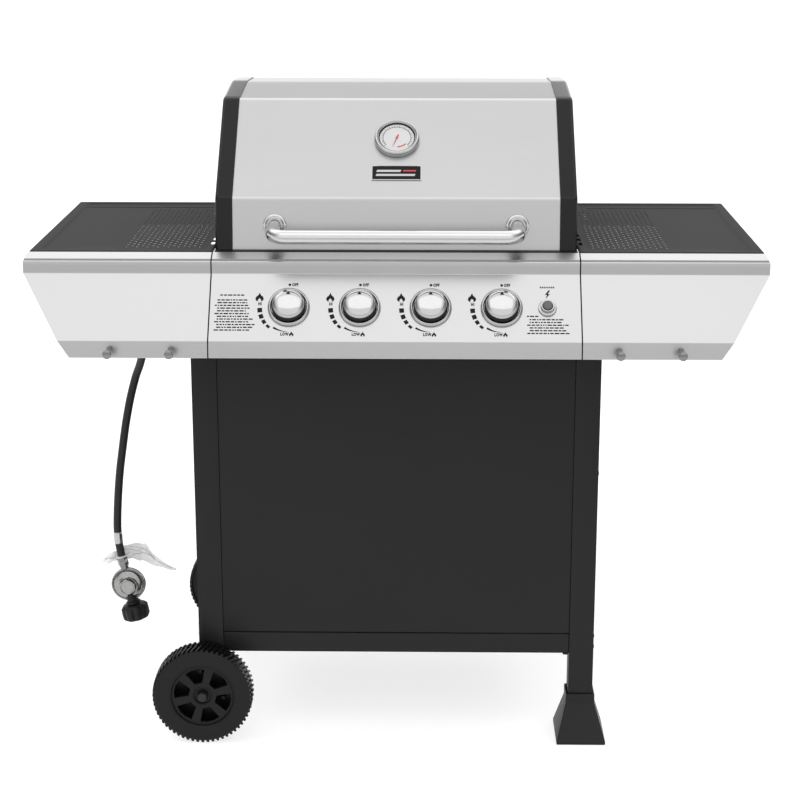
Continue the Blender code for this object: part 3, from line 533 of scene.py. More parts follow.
def make_gas_line():
    curve = with_settings(bpy.data.curves.new("gas_line", "CURVE"), dimensions="3D", bevel_depth=HOSE_RADIUS,
                          bevel_resolution=5, use_fill_caps=True)
    points = smooth_route(HOSE_ROUTE, 0.006)
    spline = curve.splines.new("POLY")
    spline.points.add(len(points) - 1)
    for slot, point in zip(spline.points, points):
        slot.co = (*point, 1)
    spline.use_smooth = True
    hose = linked("gas_line", curve)
    curve.materials.append(LOOKS["rubber"])
    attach(hose, "root")
    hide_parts("gas_hose")

    crimp = on_hose(0.024, 0.046, [(0, 0.0075), (0.08, 0.008), (0.45, 0.0078), (0.9, 0.008), (1, 0.0075)], 20)
    pieces = [add("hose_crimp", crimp, "satin", slot="zinc")]
    start = Vector(HOSE_ROUTE[0])
    collar = turned(mm((0, 0), (9.8, 0), (9.8, 12), (8, 13.5), (8, 20), (0, 20)), 6)
    add("hose_inlet_nut", placed(collar, start + Vector((-0.0005, 0, 0)), TO_LEFT), "brass", bevel=0.0006)
    pieces += make_regulator()
    pieces += make_coupling_nut()
    pieces += make_tag()


def make_regulator():
    """The round die-cast body, its crimped rim, the boss, the hexagonal outlet and the black inlet neck."""
    body = mm((0, -14), (19, -14), (22.5, -13), (25, -10.5), (28.5, -5.2), (30.2, -4), (31, -3), (31, 2),
              (30.5, 3.4), (29.3, 4), (28.3, 3.6), (27.7, 2), (26.8, 1.6), (26, 3), (25.5, 5.2), (24.3, 6.4),
              (21.5, 7.8), (19, 8.2), (17, 9.4), (15.8, 11.2), (15.2, 11.4), (14.9, 10.6), (14.5, 11),
              (14.3, 17.6), (13.5, 18.8), (12.2, 19), (11.2, 18), (0, 17.8))
    ferrule = mm((0, 30), (7.2, 30), (7.8, 33), (9.4, 37.5), (10, 39), (10, 50), (9, 51.5), (7.8, 52), (0, 52))
    sleeve = mm((0, 52.2), (8, 52.2), (8.4, 53), (8.2, 54.8), (7.2, 55.6), (0, 55.6))
    neck = mm((0, -37.2), (12.2, -37.2), (13, -36.4), (13, -34), (11.2, -32.6), (9.8, -31.6), (9.8, -18),
              (0, -18))

    def fit(name, profile, segments, *rest, turn=REGULATOR_TURN, **more):
        return add(name, placed(turned(profile, segments), REGULATOR, turn), *rest, **more)

    return [fit("regulator_body", body, 72, "cast", ["regulator"], turn=OUT_OF_FRONT, smooth=28),
            fit("hose_ferrule", ferrule, 6, "peg", slot="zinc", bevel=0.0005),
            fit("hose_end_sleeve", sleeve, 24, "dial", slot="clear_film"),
            fit("regulator_neck", neck, 32, "plastic")]


def make_coupling_nut():
    """The hand nut for the gas cylinder: rounded lobes with deep grooves, open at its lower end."""
    def lobed(angle, height):
        wave = abs(sin(4 * angle))
        depth = 0.17 if -0.028 < height < -0.005 else 0.09
        return 1 - depth * (1 - wave ** 0.45) if height < -0.002 else 1
    profile = mm((10, -0.5), (16.8, -1), (20.5, -3), (23.6, -5.6), (24.6, -7.5), (24.9, -16), (24.7, -24.5),
                 (23.6, -27.2), (21.8, -28.8), (19.8, -29.2), (15.8, -29.2), (15, -28.6), (15, -8))
    mesh = turned(profile, 160, shape=lambda angle, height: lobed(angle, height) if height > -0.0291 else 1)
    top = REGULATOR - REGULATOR_UP * 0.0373
    return [add("cylinder_nut", placed(mesh, top, REGULATOR_TURN), "plastic", ["coupling_nut"], "coupling_nut",
                smooth=40)]


def make_tag():
    """A creased strip of clear film folded round the end of the hose, with thin grey lines of painted shade
    along its folds.
    """
    # X, Z and half the width along its middle line.
    spine = mm((-539.2, 259, 2), (-524, 266, 10), (-508, 270, 9), (-488, 276, 14), (-464, 274, 17),
               (-440, 260, 12), (-403, 244, 2))
    chance = random.Random(5)
    folds = [(chance.uniform(-1, 1), chance.uniform(0.3, 1.0), chance.uniform(0, tau)) for _ in range(12)]
    columns, rows = 84, 20
    grid = []
    for i in range(columns + 1):
        u = i / columns * (len(spine) - 1)
        k = min(int(u), len(spine) - 2)
        t = u - k
        t = t * t * (3 - 2 * t) * 0.5 + t * 0.5
        x, z, half = [a + (b - a) * t for a, b in zip(spine[k], spine[k + 1])]
        column = []
        for j in range(rows + 1):
            v = j / rows * 2 - 1
            y = REGULATOR.y + 0.0185 - 0.006 * sin(u * 1.3)
            for tilt, strength, phase in folds:
                wave = (u * (2.2 + strength) + v * 2.4 * tilt + phase) / pi % 2
                y += 0.0026 * strength * (abs(wave - 1) - 0.5) * min(1, half / 0.012)
            edge = 0.0012 * sin(u * 7 + v * 3)
            column.append((x + 0.004 * v * sin(u * 2.1), y, z + v * half + edge * abs(v)))
        grid.append(column)
    sheet = bridged(grid, caps=False, closed=False)
    tag = add("film_tag", sheet, "film", ["hose_tag"], smooth=20, solid=0.0003)
    # Thin grey lines along the folds: painted shade for the creases, which the folded sheet alone does not
    # show.
    lines = []
    for i0, j0, i1, j1 in ((14, 9, 33, 13), (36, 15, 56, 9), (40, 18, 74, 9), (46, 6, 66, 12), (30, 5, 44, 9),
                           (58, 15, 80, 10), (6, 11, 22, 8)):
        route = []
        for t in [k / 24 for k in range(0, 25, 4)]:
            point = Vector(grid[round(i0 + (i1 - i0) * t)][round(j0 + (j1 - j0) * t)])
            route.append(point + Vector((0, -0.0004, 0.0006 * sin(5 * t + i0))))
        lines.append(swept(rounded(route, 0.01, 4, 0.45), 0.00042, 6))
    creases = add("film_crease_shading", joined(lines), "crease_shade", smooth=40)
    return [tag, creases]


# ---- cart
def make_cart():
    for end in ("front", "rear"):
        for side, _ in SIDES:
            softened(f"leg_{end}_{side}", "enamel", 0.003, 3)
        softened(f"foot_{end}_right", "plastic", 0.0026, 4, moved=lambda z: z if z < 0.01 else z * 0.89)
    softened("front_panel", "enamel", 0.0022, 3, moved=lambda z: max(z, 0.1908))
    for part in ("bottom_shelf", "rear_brace", "side_rail_left", "side_rail_right"):
        softened(part, "enamel", 0.0018, 3)
    heads = []
    for sign, turn in ((-1, TO_LEFT), (1, TO_RIGHT)):
        for z in (0.179, 0.1595, 0.4775, 0.701, 0.725):
            for y in (sum(FRONT_LEG_Y) / 2, sum(REAR_LEG_Y) / 2):
                heads.append(placed(pan_head(0.0048, 0.0024), (sign * (LEG_OUTER + 0.0001), y, z), turn))
        for z in (0.57, 0.585):
            place = (sign * 0.322, REAR_LEG_Y[1] + 0.0001, z)
            heads.append(placed(pan_head(0.0045, 0.0022), place, OUT_OF_BACK))
    add("cart_bolts", joined(heads), "enamel", slot="zinc")
    clips = [prism(rounded_box(x - 0.0046, x + 0.0046, -0.1855, -0.168, 0.002), 0.15, 0.1538, "Z")
             for x in (-0.2955, 0.2955)]
    add("rail_clips", joined(clips), "enamel", bevel=0.0006)


def make_wheels():
    """Tyres with two rows of slanted lugs, a dished face with six windows, the hub and the web behind them."""
    pitch, root = tau / 60, 0.0836
    windows = []
    for i in range(6):
        middle = radians(45 + 60 * i)
        windows.append([polar(radius / 1000, middle + spread) for radius, spread in (
            (24.5, -0.27), (49, -0.355), (50, -0.12), (50, 0.12), (49, 0.355), (24.5, 0.27))])

    def lug(w0, w1, middle):
        loops = []
        for share, drop in ((0, 0.0006), (0.5, 0), (1, 0.0006)):
            shift, top = middle + 0.75 * pitch * (share - 0.5), WHEEL_RADIUS - drop
            section = ((-0.3, root - 0.0006), (-0.24, top - 0.0008), (-0.14, top), (0.14, top),
                       (0.24, top - 0.0008), (0.3, root - 0.0006))
            loops.append([(*polar(radius, shift + across * pitch), w0 + (w1 - w0) * share)
                          for across, radius in section])
        return bridged(loops)

    for end, y, turn in (("front", -0.192, OUT_OF_FRONT), ("rear", 0.3, OUT_OF_BACK)):
        tyre = mm((81.5, 30.2), (81.5, 1.6), (82.2, 0.6), (82.4, 0.6), (83.6, 1.8), (83.6, 38.8), (83, 40),
                  (81.4, 41), (58.5, 41), (57.5, 40.2), (56.2, 40.2), (55.2, 40.8), (54.5, 40), (53.8, 37.2),
                  (53, 36.6), (53, 30.2))
        face = plate(circle(0.0534, 96), [circle(0.0164, 48), *windows], 0.0302, 0.037)
        hub = mm((6.3, 0.4), (11.8, 0.4), (12.5, 1.2), (12.5, 30), (16.6, 30.2), (16.6, 36.6), (15.8, 37.4),
                 (14.8, 37.4), (14.3, 36.6), (14.3, 34.5), (6.3, 34.5))
        tyre, hub = turned(tyre, 132, ring=True), turned(hub, 48, ring=True)
        blocks = [lug(w0, w1, pitch * (i + phase)) for i in range(60)
                  for w0, w1, phase in ((0.0012, 0.0198, 0), (0.0212, 0.0398, 0.5))]
        web = [turned(mm((12.5, 6), (81.2, 6), (81.2, 8.5), (12.5, 8.5)), 72, ring=True)]
        for i in range(6):
            aim = Matrix.Rotation(radians(60 * i + 15), 3, "Z")
            rib = prism(mm((12, 8), (80, 8), (80, 29.8), (12, 29.8)), -0.0014, 0.0014, "Y")
            web.append(placed(rib, rotation=aim))
            if i % 2:
                boss = turned(mm((0, 8), (5.5, 8), (4.8, 17), (3, 17.8), (0, 17.8)), 6)
                web.append(placed(boss, aim @ Vector((*polar(0.036, 0.4), 0))))
        for name, mesh, replaces, rest in (
                ("wheel_web", joined(web), [], {"smooth": 30}),
                ("tyre", joined([tyre, hub]), [f"wheel_{end}"], {"smooth": 28}),
                ("tread", joined(blocks), [], {"smooth": 30}),
                ("wheel_face", face, [], {"bevel": 0.0009})):
            mesh = placed(mesh, (AXLE_X, y, WHEEL_RADIUS), turn)
            add(f"{name}_{end}", mesh, "tyre", replaces, f"wheel_{end}", **rest)


# ---- side shelves and fascias
def make_shelves():
    """Plates with a sunk, pierced field, a rounded edge and a skirt, and a stiffener under each."""
    edge, drop = 0.0025, 0.0022
    y0, y1 = SHELF_Y
    for side, sign in SIDES:
        def box(near, far, *rest):
            return rounded_box(*sorted((sign * near, sign * far)), *rest)

        def loop(distance, corner=0.003):
            return box(LEG_INNER + distance, SHELF_HALF - distance, y0 + distance, y1 - distance, corner, 4)

        holes = []
        for column in range(15):
            for row in range(19):
                y = -0.15 + 0.0193 * row + (0.00965 if column % 2 else 0)
                holes.append(circle(0.0026, 8, (sign * (0.45 - 0.0087 * column), y), pi / 8))
        slots = [box(0.3045, 0.311, y - 0.0115, y + 0.0115, 0.003, 3) for y in (-0.052, -0.09, -0.128)]
        border = [box(0.315 - step, SHELF_HALF - 0.02 + step, y0 + 0.013 - step, y1 - 0.013 + step, 0.008, 4)
                  for step in (0.0024, 0.0)]

        def lift(x, y, number):
            sunk = 1 <= number <= len(holes) or number == len(holes) + len(slots) + 2
            return (x, y, SHELF_TOP - (drop if sunk else 0))

        bm = bmesh.new()
        rim = pierced(bm, loop(edge), holes + slots, lift, border)[0]
        lines = []
        for step in range(1, 5):
            sine, cosine = polar(edge, radians(90 - 22.5 * step))
            lines.append((loop(edge - sine, 0.003 + sine), SHELF_TOP - edge + cosine))
        for line, level in [*lines, (loop(0, 0.0055), SHELF_TOP - SHELF_RIM)]:
            outer = [bm.verts.new((*point, level)) for point in line]
            stitched(bm, rim, outer)
            rim = outer
        add(f"shelf_plate_{side}", facing(finished(bm), 2, 1), "shelf", [f"side_shelf_{side}"], smooth=40,
            solid=0.0007)
        hat = mm((232, 865.5), (232, 833), (240, 833), (240, 834.5), (233.5, 834.5), (233.5, 865.5))
        stiffener = prism(hat, *sorted((sign * 0.346, sign * 0.598)))
        add(f"shelf_stiffener_{side}", stiffener, "enamel", slot="shelf_enamel", smooth=0)


def panel_skin(first, last):
    """The front's profile from the top down, with rounded bends, between two given end points."""
    fold = [(-0.2192, 0.857), (-0.2178, 0.8566), (-0.2178, 0.8552), (-0.2226, 0.8552), (-0.223, 0.8485)]
    return rounded([first, LEDGE, *fold, SLOPE_TOP, SLOPE_FOOT, BAND_FOOT, last], 0.0022, 4, 0.45)


def make_fascias():
    skin = panel_skin((-0.1955, 0.864), (-0.286, BAND_FOOT[1]))
    near = BODY_HALF + 0.0014

    def far(y, z):
        """The distance of the slanted outer end from the middle."""
        if z < SLOPE_TOP[1]:
            share = (z - BAND_FOOT[1]) / (SLOPE_TOP[1] - BAND_FOOT[1])
            return FASCIA_FOOT_HALF + (HALF_WIDTH - FASCIA_FOOT_HALF) * share
        if y > BAND_TOP[0]:
            return HALF_WIDTH - 0.006 * min(1, (y - BAND_TOP[0]) / (LEDGE[0] - BAND_TOP[0]))
        return HALF_WIDTH

    for side, sign in SIDES:
        bm = bmesh.new()
        columns = []
        for y, z in skin:
            back = min(max(y, LEDGE[0]), -0.1955)
            columns.append([bm.verts.new((sign * x, depth, z))
                            for x, depth in ((near, y), (far(y, z), y), (far(y, z), back))])
        for a, b in zip(columns, columns[1:]):
            turned_back = max((column[1].co - column[2].co).length for column in (a, b)) > 1e-6
            stitched(bm, *((a, b) if turned_back else (a[:2], b[:2])), closed=False)
        sheet = facing(finished(bm, weld=True), 1, -1)
        add(f"fascia_skin_{side}", sheet, "steel", [f"shelf_fascia_{side}"], solid=SHEET)


def make_control_panel():
    skin = panel_skin((-0.1665, 0.8655), (-0.286, BAND_FOOT[1]))
    half = BODY_HALF - 0.0008
    bm = bmesh.new()
    rows = [[bm.verts.new((x, y, z)) for x in (-half, half)] for y, z in skin]
    slope = max(range(len(skin) - 1), key=lambda i: (skin[i + 1] - skin[i]).length)
    for i, (a, b) in enumerate(zip(rows, rows[1:])):
        if i != slope:
            stitched(bm, a, b, closed=False)
    top, foot = skin[slope], skin[slope + 1]
    down, length = (foot - top).normalized(), (foot - top).length
    middle = (SLOPE_MIDDLE - top).dot(down)
    holes = [circle(0.008, 24, (x, middle)) for x in KNOB_POSITIONS] + [circle(0.0114, 28, (IGNITER_X, middle))]
    outline = [(-half, 0), (half, 0), (half, length), (-half, length)]
    pierced(bm, outline, holes, lambda x, s, loop: (x, *(top + down * s)))
    add("panel_skin", facing(finished(bm, True), 1, -1), "steel", ["control_panel"], solid=SHEET)


def make_hooks():
    turn = Matrix.Rotation(radians(97), 3, "X")
    profile = mm((0, -6), (3, -6), (3, 0.3), (4.3, 0.3), (4.3, 1.2), (4.6, 1.8), (4.1, 2.6), (4, 12),
                 (4, 23.5), (5, 24.2), (6.8, 24.8), (7.3, 25.8), (7.3, 27.8), (6.7, 29.2), (5, 30),
                 (2.6, 30.3), (0, 30.3))
    for number, x in enumerate(HOOK_POSITIONS, 1):
        peg = placed(turned(profile, 40), (x, BAND_FOOT[0], HOOK_Z), turn)
        add(f"hook_peg_{number}", peg, "peg", [f"tool_hook_{number}"], smooth=40)


# ---- knobs, igniter and the panel's print
def make_knobs():
    cap = mm((0, 22.2), (6, 22.08), (11.5, 21.68), (15.8, 21), (19.3, 20.1), (21.9, 18.95), (23.6, 17.7),
             (24.6, 16.5), (25, 15.6), (25.1, 15.1), (25.7, 14.8), (25.8, 14.35), (25.4, 13.9), (23, 13.8),
             (0, 13.8))
    skirt = mm((22.6, 13.6), (25.2, 13.6), (26.2, 13), (27.2, 11.2), (27.9, 9.6), (28, 8.6), (28, 6),
               (27.6, 5.3), (26.4, 5.3), (24.5, 12))
    stem = mm((3.6, 13.6), (7.5, 13.6), (7.5, 5.3), (3.6, 5.3))
    ring = mm((29, 0.3), (29, 4.2), (29.4, 5.1), (30.1, 5.7), (31, 5.9), (31.8, 5.3), (32.4, 4.6),
              (33.2, 4.3), (33.8, 3.6), (34.25, 1.8), (34.25, 0.3))
    tilt = Matrix.Rotation(radians(-11), 3, "X")
    for number, x in enumerate(KNOB_POSITIONS, 1):
        body = f"knob_{number}"
        add(f"knob_cap_{number}", on_slope(turned(cap, 64), x), "chrome", [body], body, smooth=50)
        inner = joined([turned(skirt, 64, ring=True), turned(stem, 32, ring=True)])
        add(f"knob_skirt_{number}", on_slope(inner, x), "plastic", body=body, smooth=50)
        arrow = prism(mm((-3.4, -2.6), (3.4, -2.6), (0, 3.3)), 0, 0.00025, "Z")
        mark = placed(arrow, (0, 0.0165, 0.02105), tilt)
        add(f"knob_mark_{number}", on_slope(mark, x), "ink", body=body, smooth=0)
        bezel = on_slope(turned(ring, 80, ring=True), x)
        add(f"bezel_ring_{number}", bezel, "satin", [f"knob_bezel_{number}"], smooth=50)
    collar = mm((15, 0.3), (15, 1.8), (14.3, 3), (12.6, 3.6), (11.4, 4), (11, 5), (11, 9.8), (10.5, 10.8),
                (9.5, 11), (8.3, 10.4), (8.3, -28), (10.8, -29), (11, 0.3))
    bezel = on_slope(turned(collar, 56, ring=True), IGNITER_X)
    add("igniter_collar", bezel, "satin", ["igniter_bezel"], smooth=40)
    button = mm((0, -21), (7.9, -21), (7.9, 12), (7.4, 13.4), (6.2, 14.2), (3.6, 13.8), (0, 13.6))
    cap = on_slope(turned(button, 40), IGNITER_X)
    add("igniter_cap", cap, "grey", ["igniter_button"], "igniter_button", smooth=40)


def flame(size):
    """Left and right half of a flame sign, as two outlines round its bright core."""
    half = [(0.0, 0.62), (0.12, 0.34), (0.31, 0.08), (0.27, 0.22), (0.41, 0.02), (0.48, -0.16), (0.45, -0.34),
            (0.33, -0.47), (0.12, -0.54), (0.2, -0.42), (0.17, -0.3), (0.09, -0.22), (0.0, -0.1)]
    return [[(x * size * sign, y * size) for x, y in half] for sign in (-1, 1)]


def make_print():
    """Generic marks: a dot, a flame, a scale and a small flame round each knob, and rows of fine dashes."""
    marks = []

    def put(outline, x, y, into=marks):
        into.append(prism([(x + px, y + py) for px, py in outline], 0.00005, 0.00015, "Z"))

    for knob in KNOB_POSITIONS:
        put(circle(0.0023, 16), knob + 0.0005, 0.041)
        for size, x, y in ((0.014, -0.048, 0.0182), (0.0078, 0.0055, -0.0475)):
            for half in flame(size):
                put(half, knob + x, y)
        for angle, length, width in ((186, 0.008, 0.0078), (200, 0.0078, 0.0072), (213, 0.0072, 0.0062),
                                     (226, 0.0068, 0.0046)):
            out = Vector(polar(1, radians(angle)))
            along = Vector((-out.y, out.x))
            put([out * (0.0472 + width / 2 * j) + along * (length / 2 * i)
                 for i, j in ((-1, -1), (1, -1), (1, 1), (-1, 1))], knob, 0)
        # A tail that gets thinner round the knob.
        outer, inner = [[polar(0.0432 + side * (0.00175 - 0.0016 * i / 12), radians(236 + 33 * i / 12))
                         for i in range(13)] for side in (1, -1)]
        put(outer + inner[::-1], knob, 0)
    put(mm((2, 7.75), (-3.75, -0.5), (-0.25, -0.25), (-2.75, -7.75), (4.25, 1.25), (0.75, 1), (5, 7.75)),
        IGNITER_X, 0.0245)
    for i in range(7):
        put(rounded_box(-0.0011, 0.0011, -0.0015, 0.0015, 0.0004, 1), IGNITER_X - 0.0105 + 0.0035 * i, 0.0375)
    add("panel_marks", on_slope(joined(marks)), "ink", smooth=0)

    letters = []
    for knob in KNOB_POSITIONS:
        letters += [lettering("OFF", knob + 0.0092, 0.0386), lettering("HI", knob - 0.047, 0.004),
                    lettering("LOW", knob - 0.0056, -0.05)]
    add("panel_words", on_slope(joined(letters)), "ink", smooth=0)

    chance = random.Random(11)
    lines = []
    for left, top, rows, title, gap in ((-0.293, 0.022, 12, (0.008, 0.045), 1.8),
                                        (0.213, -0.0145, 6, (0, 0.015), 1.2)):
        for row in range(rows + 1):
            start, width = (0.004 if row % 3 else 0, chance.uniform(0.05, 0.066)) if row else title
            x, end, level = left + start, left + width, top - (row - 1 + gap if row else 0) * 0.0049
            while x < end:
                word = chance.uniform(0.0022, 0.008)
                put(rounded_box(0, word, -0.0011, 0.0011, 0.0006, 1), x, level, lines)
                x += word + 0.0012
    add("panel_fine_lines", on_slope(joined(lines)), "ink", smooth=0)


def lettering(word, x, y):
    """A raised word of the panel's print, a little narrower than the font makes it."""
    curve = with_settings(bpy.data.curves.new("word", "FONT"), body=word, size=0.0073, offset=0.00042,
                          space_character=1.15, align_x="CENTER", resolution_u=2)
    holder = linked("word", curve)
    shape = bpy.data.meshes.new_from_object(holder.evaluated_get(bpy.context.evaluated_depsgraph_get()))
    bpy.data.objects.remove(holder)
    bm = bmesh.new()
    bm.from_mesh(shape)
    bmesh.ops.remove_doubles(bm, verts=bm.verts, dist=1e-6)
    raised = bmesh.ops.extrude_face_region(bm, geom=bm.faces[:])
    top = [item for item in raised["geom"] if isinstance(item, bmesh.types.BMVert)]
    bmesh.ops.translate(bm, verts=top, vec=(0, 0, 0.0001))
    mesh = finished(bm)
    mesh.transform(Matrix.Diagonal((0.72, 1, 1, 1)))
    return placed(mesh, (x, y, 0.00005))


# ---- lid
def lid_profile():
    points = [Vector(LID_CORNERS[0])]
    for i, (radius, steps) in enumerate(LID_BENDS):
        points += rounded(LID_CORNERS[i:i + 3], radius, steps)[1:-1]
    return points + [Vector(LID_CORNERS[-1])]


def make_lid():
    outline = lid_profile()
    sheet = inset(outline, SHELL_OFFSET)
    above, below = sheet[-2:]
    sheet[-1] = above.lerp(below, (above.y - SHELL_REAR_FOOT) / (above.y - below.y))
    half = LID_HALF - CAP_PLATE - 0.0005
    mesh = bridged([[(x, y, z) for y, z in sheet] for x in (-half, half)], caps=False, closed=False)
    add("lid_skin", facing(mesh, 2, 1), "steel", ["lid_shell"], "lid", solid=SHEET)

    corner, steps = 0.006, 5
    foot_z = LID_CORNERS[0][1]
    for side, sign in SIDES:
        bm = bmesh.new()
        columns = [(LID_HALF - CAP_WIDTH, 0.0)]
        for i in range(steps + 1):
            angle = radians(90 * i / steps)
            columns.append((LID_HALF - corner * (1 - sin(angle)), corner * (1 - cos(angle))))
        rows = []
        for x, depth in columns:
            line = inset(outline, depth) if depth else outline
            rows.append([bm.verts.new((sign * x, y, foot_z if i in (0, len(line) - 1) else z))
                         for i, (y, z) in enumerate(line)])
        for a, b in zip(rows, rows[1:]):
            stitched(bm, a, b, closed=False)
        bm.faces.new(rows[-1])
        add(f"lid_end_{side}", facing(finished(bm), 2, 1), "cap", [f"lid_cap_{side}"], "lid", smooth=50,
            solid=CAP_SKIN - 0.0002)

    # A thin black sheet on the ledge under the lid's front edge: painted shade for the dark gap between the lid
    # and the panel.
    strip = prism(rounded_box(-0.2985, 0.2985, -0.196, -0.1685, 0.0015, 3), 0.86565, 0.8663, "Z")
    add("lid_gap_painted_shade", strip, "ink", slot="black_enamel", smooth=0)


def make_thermometer():
    """The case with its bezel, the card, its ticks and ring, and the red needle with the hot zone."""
    def fit(name, mesh, look, *replaces, smooth=40):
        add("thermometer_" + name, on_lid(mesh, 0.576), look, replaces, "lid", smooth=smooth)

    def arc(radius, width, start, end, count):
        inner, outer = [[polar(radius + side * width, radians(start + (end - start) * i / count))
                         for i in range(count + 1)] for side in (-0.5, 0.5)]
        return prism(inner + outer[::-1], 0.0057, 0.0059, "Z")

    case = mm((0, -38), (3, -38), (3, 0.3), (36.8, 0.3), (37.85, 1.2), (37.85, 7), (37.4, 8.8), (36.3, 10.1),
              (35, 10.7), (33.8, 10.3), (33.1, 9.4), (32.7, 8.4), (32.2, 8), (31.8, 8.4), (31.2, 8.5),
              (30.8, 7.8), (30.8, 4.8), (0, 4.8))
    fit("case", turned(case, 96), "satin", "thermometer")
    fit("card", turned(mm((0, 4.9), (30.4, 4.9), (30.4, 5.6), (0, 5.6)), 72), "dial")
    ticks = [arc(0.0233, 0.0006, -40, 220, 60)]
    for i in range(27):
        middle, radius, length = -40 + 10 * i, *((0.0246, 0.0018) if i % 2 else (0.0252, 0.0032))
        ticks.append(arc(radius, length, middle - 0.7, middle + 0.7, 1))
    fit("ticks", joined(ticks), "pale_ink", smooth=0)
    fit("ring", turned(mm((29, 5.7), (29, 6.4), (30.5, 6.6), (30.5, 5.7)), 72, ring=True), "ink")
    along = Vector(polar(1, radians(250)))
    side = Vector((-along.y, along.x))
    needle = [along * 0.0215, along * 0.002 + side * 0.0009, -along * 0.007 + side * 0.0012,
              -along * 0.007 - side * 0.0012, along * 0.002 - side * 0.0009]
    red = [prism(needle, 0.0062, 0.0066, "Z"), arc(0.0195, 0.0022, 272, 318, 8),
           turned(mm((0, 6), (2, 6), (2, 7), (0, 7.2)), 20)]
    fit("needle", joined(red), "red", smooth=0)


def make_badge():
    """A plain dark plate in a bright frame, with two stripes and no lettering."""
    def fit(name, mesh, look, smooth=0):
        add("badge_" + name, on_lid(mesh, 0.246), look, body="lid", smooth=smooth)

    def slanted(x0, x1, y0, y1):
        lean = 0.35 * (y1 - y0)
        return prism([(x0, y0), (x1, y0), (x1 + lean, y1), (x0 + lean, y1)], 0.0015, 0.0018, "Z")

    outer = rounded_box(-0.0412, 0.0412, -0.015, 0.015, 0.0018)
    inner = rounded_box(-0.0402, 0.0402, -0.014, 0.014, 0.001)
    fit("frame", bridged([[(x, y, z) for x, y in line] for line, z in (
        (outer, 0.0003), (outer, 0.0016), (inner, 0.002), (inner, 0.0012))]), "satin", 30)
    fit("field", prism(rounded_box(-0.04, 0.04, -0.0138, 0.0138, 0.0009), 0.00122, 0.0015, "Z"), "ink")
    stripes = [slanted(-0.0335, 0.0065, 0.0018, 0.0062), slanted(-0.0345, 0.03, -0.0068, -0.0024)]
    fit("stripes", joined(stripes), "chrome")
    fit("accent", slanted(0.0105, 0.032, 0.003, 0.0058), "red")


def make_lid_handle():
    low, high = Vector(LID_CORNERS[0]), Vector(LID_CORNERS[1])
    along = (high - low).normalized()
    root = low + along * ((0.9055 - low.y) / along.y) + Vector((along.y, -along.x)) * SHELL_OFFSET
    bar_y = root.x - 0.075
    corners = [(0.2, root.x - 0.0025, 0.9055), (0.2, bar_y, 0.9), (-0.2, bar_y, 0.9),
               (-0.2, root.x - 0.0025, 0.9055)]
    bar = swept(rounded(corners, 0.024, 12), 0.0115, 32)
    add("handle_bar", bar, "handle", ["lid_handle"], "lid", smooth=40)
    flange = mm((0, 0.3), (19.25, 0.3), (19.25, 2.2), (18.6, 3.2), (17.2, 3.8), (16, 4), (15.2, 5),
                (14.8, 6.2), (13.8, 7), (12.6, 6.6), (12.2, 4.8), (0, 4.8))
    turn = Matrix.Rotation(atan2(along.y, along.x), 3, "X")
    meshes = [placed(turned(flange, 56), (sign * 0.2, *root), turn) for sign in (-1, 1)]
    add("handle_flanges", joined(meshes), "handle", body="lid", smooth=40)


# ---- firebox and what it holds
def make_cooking_surface():
    """Round-bar grates, a wire rack on four legs, and the flame tamers with their supports."""
    y0, y1 = -0.158, 0.263
    x0, x1, z = 0.005, 0.2935, GRATE_TOP - 0.0035
    for side, sign in SIDES:
        bars = []
        for i in range(21):
            x = sign * (x0 + (x1 - x0) * i / 20)
            bars.append(swept([(x, y0, z), (x, y1, z)], 0.003, 10))
        for y in (y0 + 0.003, (y0 + y1) / 2, y1 - 0.003):
            bars.append(swept([(sign * x, y, z - 0.003) for x in (x0 - 0.002, x1 + 0.002)], 0.0032, 10))
        add(f"grate_{side}", joined(bars), "iron", [f"cooking_grate_{side}"], smooth=40)

    half, front, rear, z = 0.283, 0.077, 0.203, 0.96
    rim = [(x, y, z) for x, y in rounded_box(-half, half, front, rear, 0.012, 6)]
    wires = [swept(rim, 0.0026, 10, closed=True)]
    for i in range(31):
        x = -half + 2 * half * (i + 0.5) / 31
        wires.append(swept([(x, front, z), (x, rear, z)], 0.0015, 8))
    for x in (-half, half):
        for y in (front + 0.002, rear - 0.002):
            wires.append(swept([(x, y, z), (x, y, GRATE_TOP + 0.001)], 0.0024, 10))
    add("rack_wires", joined(wires), "chrome", ["warming_rack"], smooth=40)

    tents = []
    peak, foot, wide = 0.805, 0.775, 0.045
    for x in KNOB_POSITIONS:
        outline = rounded([(x - wide, foot - 0.004), (x - wide, foot), (x, peak), (x + wide, foot),
                           (x + wide, foot - 0.004)], 0.003, 3)
        tents.append(prism(outline + inset(outline, SHEET)[::-1], -0.14, 0.245, "Y"))
    add("flame_tents", joined(tents), "heat")
    bars = [swept([(-0.298, y, 0.77), (0.298, y, 0.77)], 0.0035, 10) for y in (-0.125, 0.23)]
    add("tent_supports", joined(bars), "enamel", smooth=40)


def dress_frame():
    """Rounded edges or just a material for the nodes of the frame that keep their shape."""
    softened("grease_tray", "steel", 0.0008, 2, "grease_tray")
    for side, _ in SIDES:
        softened(f"hinge_pin_{side}", "zinc", 0.0005, 2)
    finish = {"firebox": "enamel", "gas_manifold": "oxide", "wheel_axle": "zinc", "axle_nut_front": "oxide",
              "axle_nut_rear": "oxide"}
    for number in range(1, 5):
        finish |= {f"burner_{number}": "heat", f"valve_stem_{number}": "brass"}
    for name, look in finish.items():
        mesh = NODES[name].data
        mesh.materials.clear()
        mesh.materials.append(LOOKS[look])


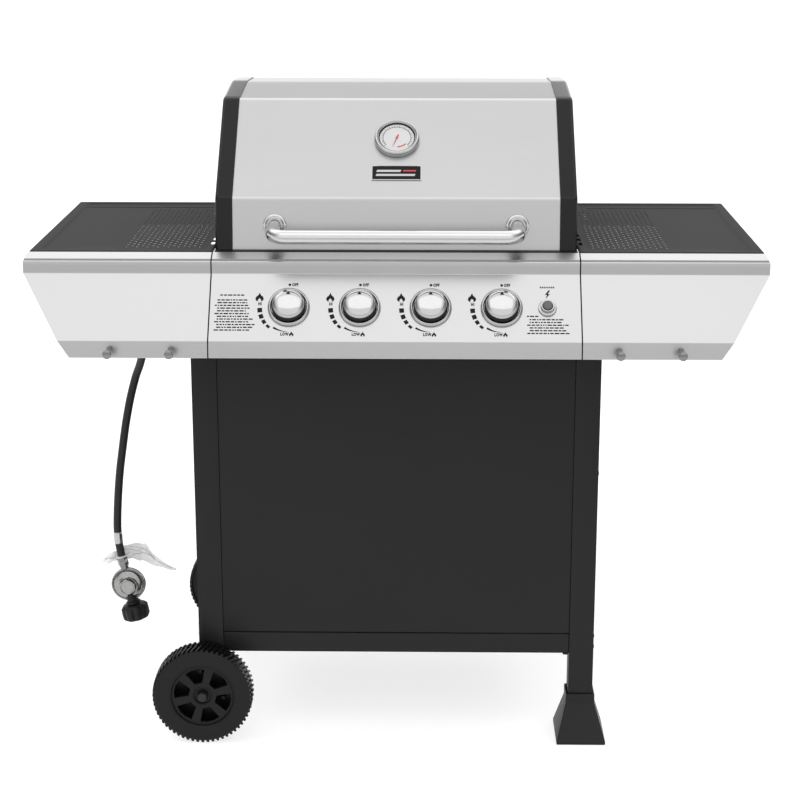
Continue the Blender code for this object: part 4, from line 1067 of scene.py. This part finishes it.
# ---- floor and light
def make_stage():
    bm = bmesh.new()
    bmesh.ops.create_grid(bm, x_segments=2, y_segments=2, size=60)
    floor = linked("floor", finished(bm), location=(0, 0, CAD_BOX[0].z - 0.0005))
    floor.data.materials.append(floor_paint())

    world = bpy.data.worlds.new("studio")
    bpy.context.scene.world = world
    world.use_nodes = True
    tree = world.node_tree
    split = node(tree, "SeparateXYZ", {"Vector": node(tree, "TexCoord", {}).outputs["Generated"]})
    x, y, z = split.outputs

    def sky(levels):
        """Brightness against the height of the direction, from the horizon to overhead."""
        made = node(tree, "ValToRGB", {"Fac": z})
        elements = made.color_ramp.elements
        while len(elements) < len(levels):
            elements.new(0.5)
        for element, (position, level) in zip(elements, levels):
            element.position = position
            element.color = (level, level, level, 1)
        return made.outputs["Color"]

    front = sky([(0, 0.84), (0.3, 0.88), (0.8, 0.88), (1, 0.88)])
    back = sky([(0, 1.0), (0.24, 0.92), (0.34, 0.34), (0.46, 0.4), (0.62, 1.25), (0.82, 1.46), (0.95, 1.08)])
    to_back = span(tree, y, -0.2, 0.3)
    both = node(tree, "Mix", {"Factor": to_back, 6: front, 7: back}, data_type="RGBA").outputs[2]
    # The sky is dimmer to the left and right, but not near the horizon, where it stands behind the floor.
    sideways = node(tree, "Math", {0: x}, operation="ABSOLUTE").outputs[0]
    level = node(tree, "Math", {0: span(tree, sideways, 0.55, 0.9, 1.0, 0.3),
                                1: span(tree, z, 0.1, 0.24, 1.0, 0.0)}, operation="MAXIMUM").outputs[0]
    background = tree.nodes["Background"].inputs
    tree.links.new(scaled(tree, both, level), background["Color"])
    background["Strength"].default_value = SKY_STRENGTH

    light = bpy.data.lights.new("overhead_front", "AREA")
    light.shape = "RECTANGLE"
    light.size, light.size_y = LAMP_SIZE
    light.energy = LAMP_RADIANCE * pi * light.size * light.size_y
    aim = (Vector(LAMP_AIM) - Vector(LAMP)).to_track_quat("-Z", "Y")
    linked("overhead_front", light, location=LAMP, rotation_mode="QUATERNION", rotation_quaternion=aim,
           visible_camera=False)
    bpy.context.scene.view_settings.view_transform = "Standard"


make_camera()
make_gas_line()
make_cart()
make_wheels()
make_shelves()
make_fascias()
make_control_panel()
make_hooks()
make_knobs()
make_print()
make_lid()
make_thermometer()
make_badge()
make_lid_handle()
make_cooking_surface()
dress_frame()
make_stage()
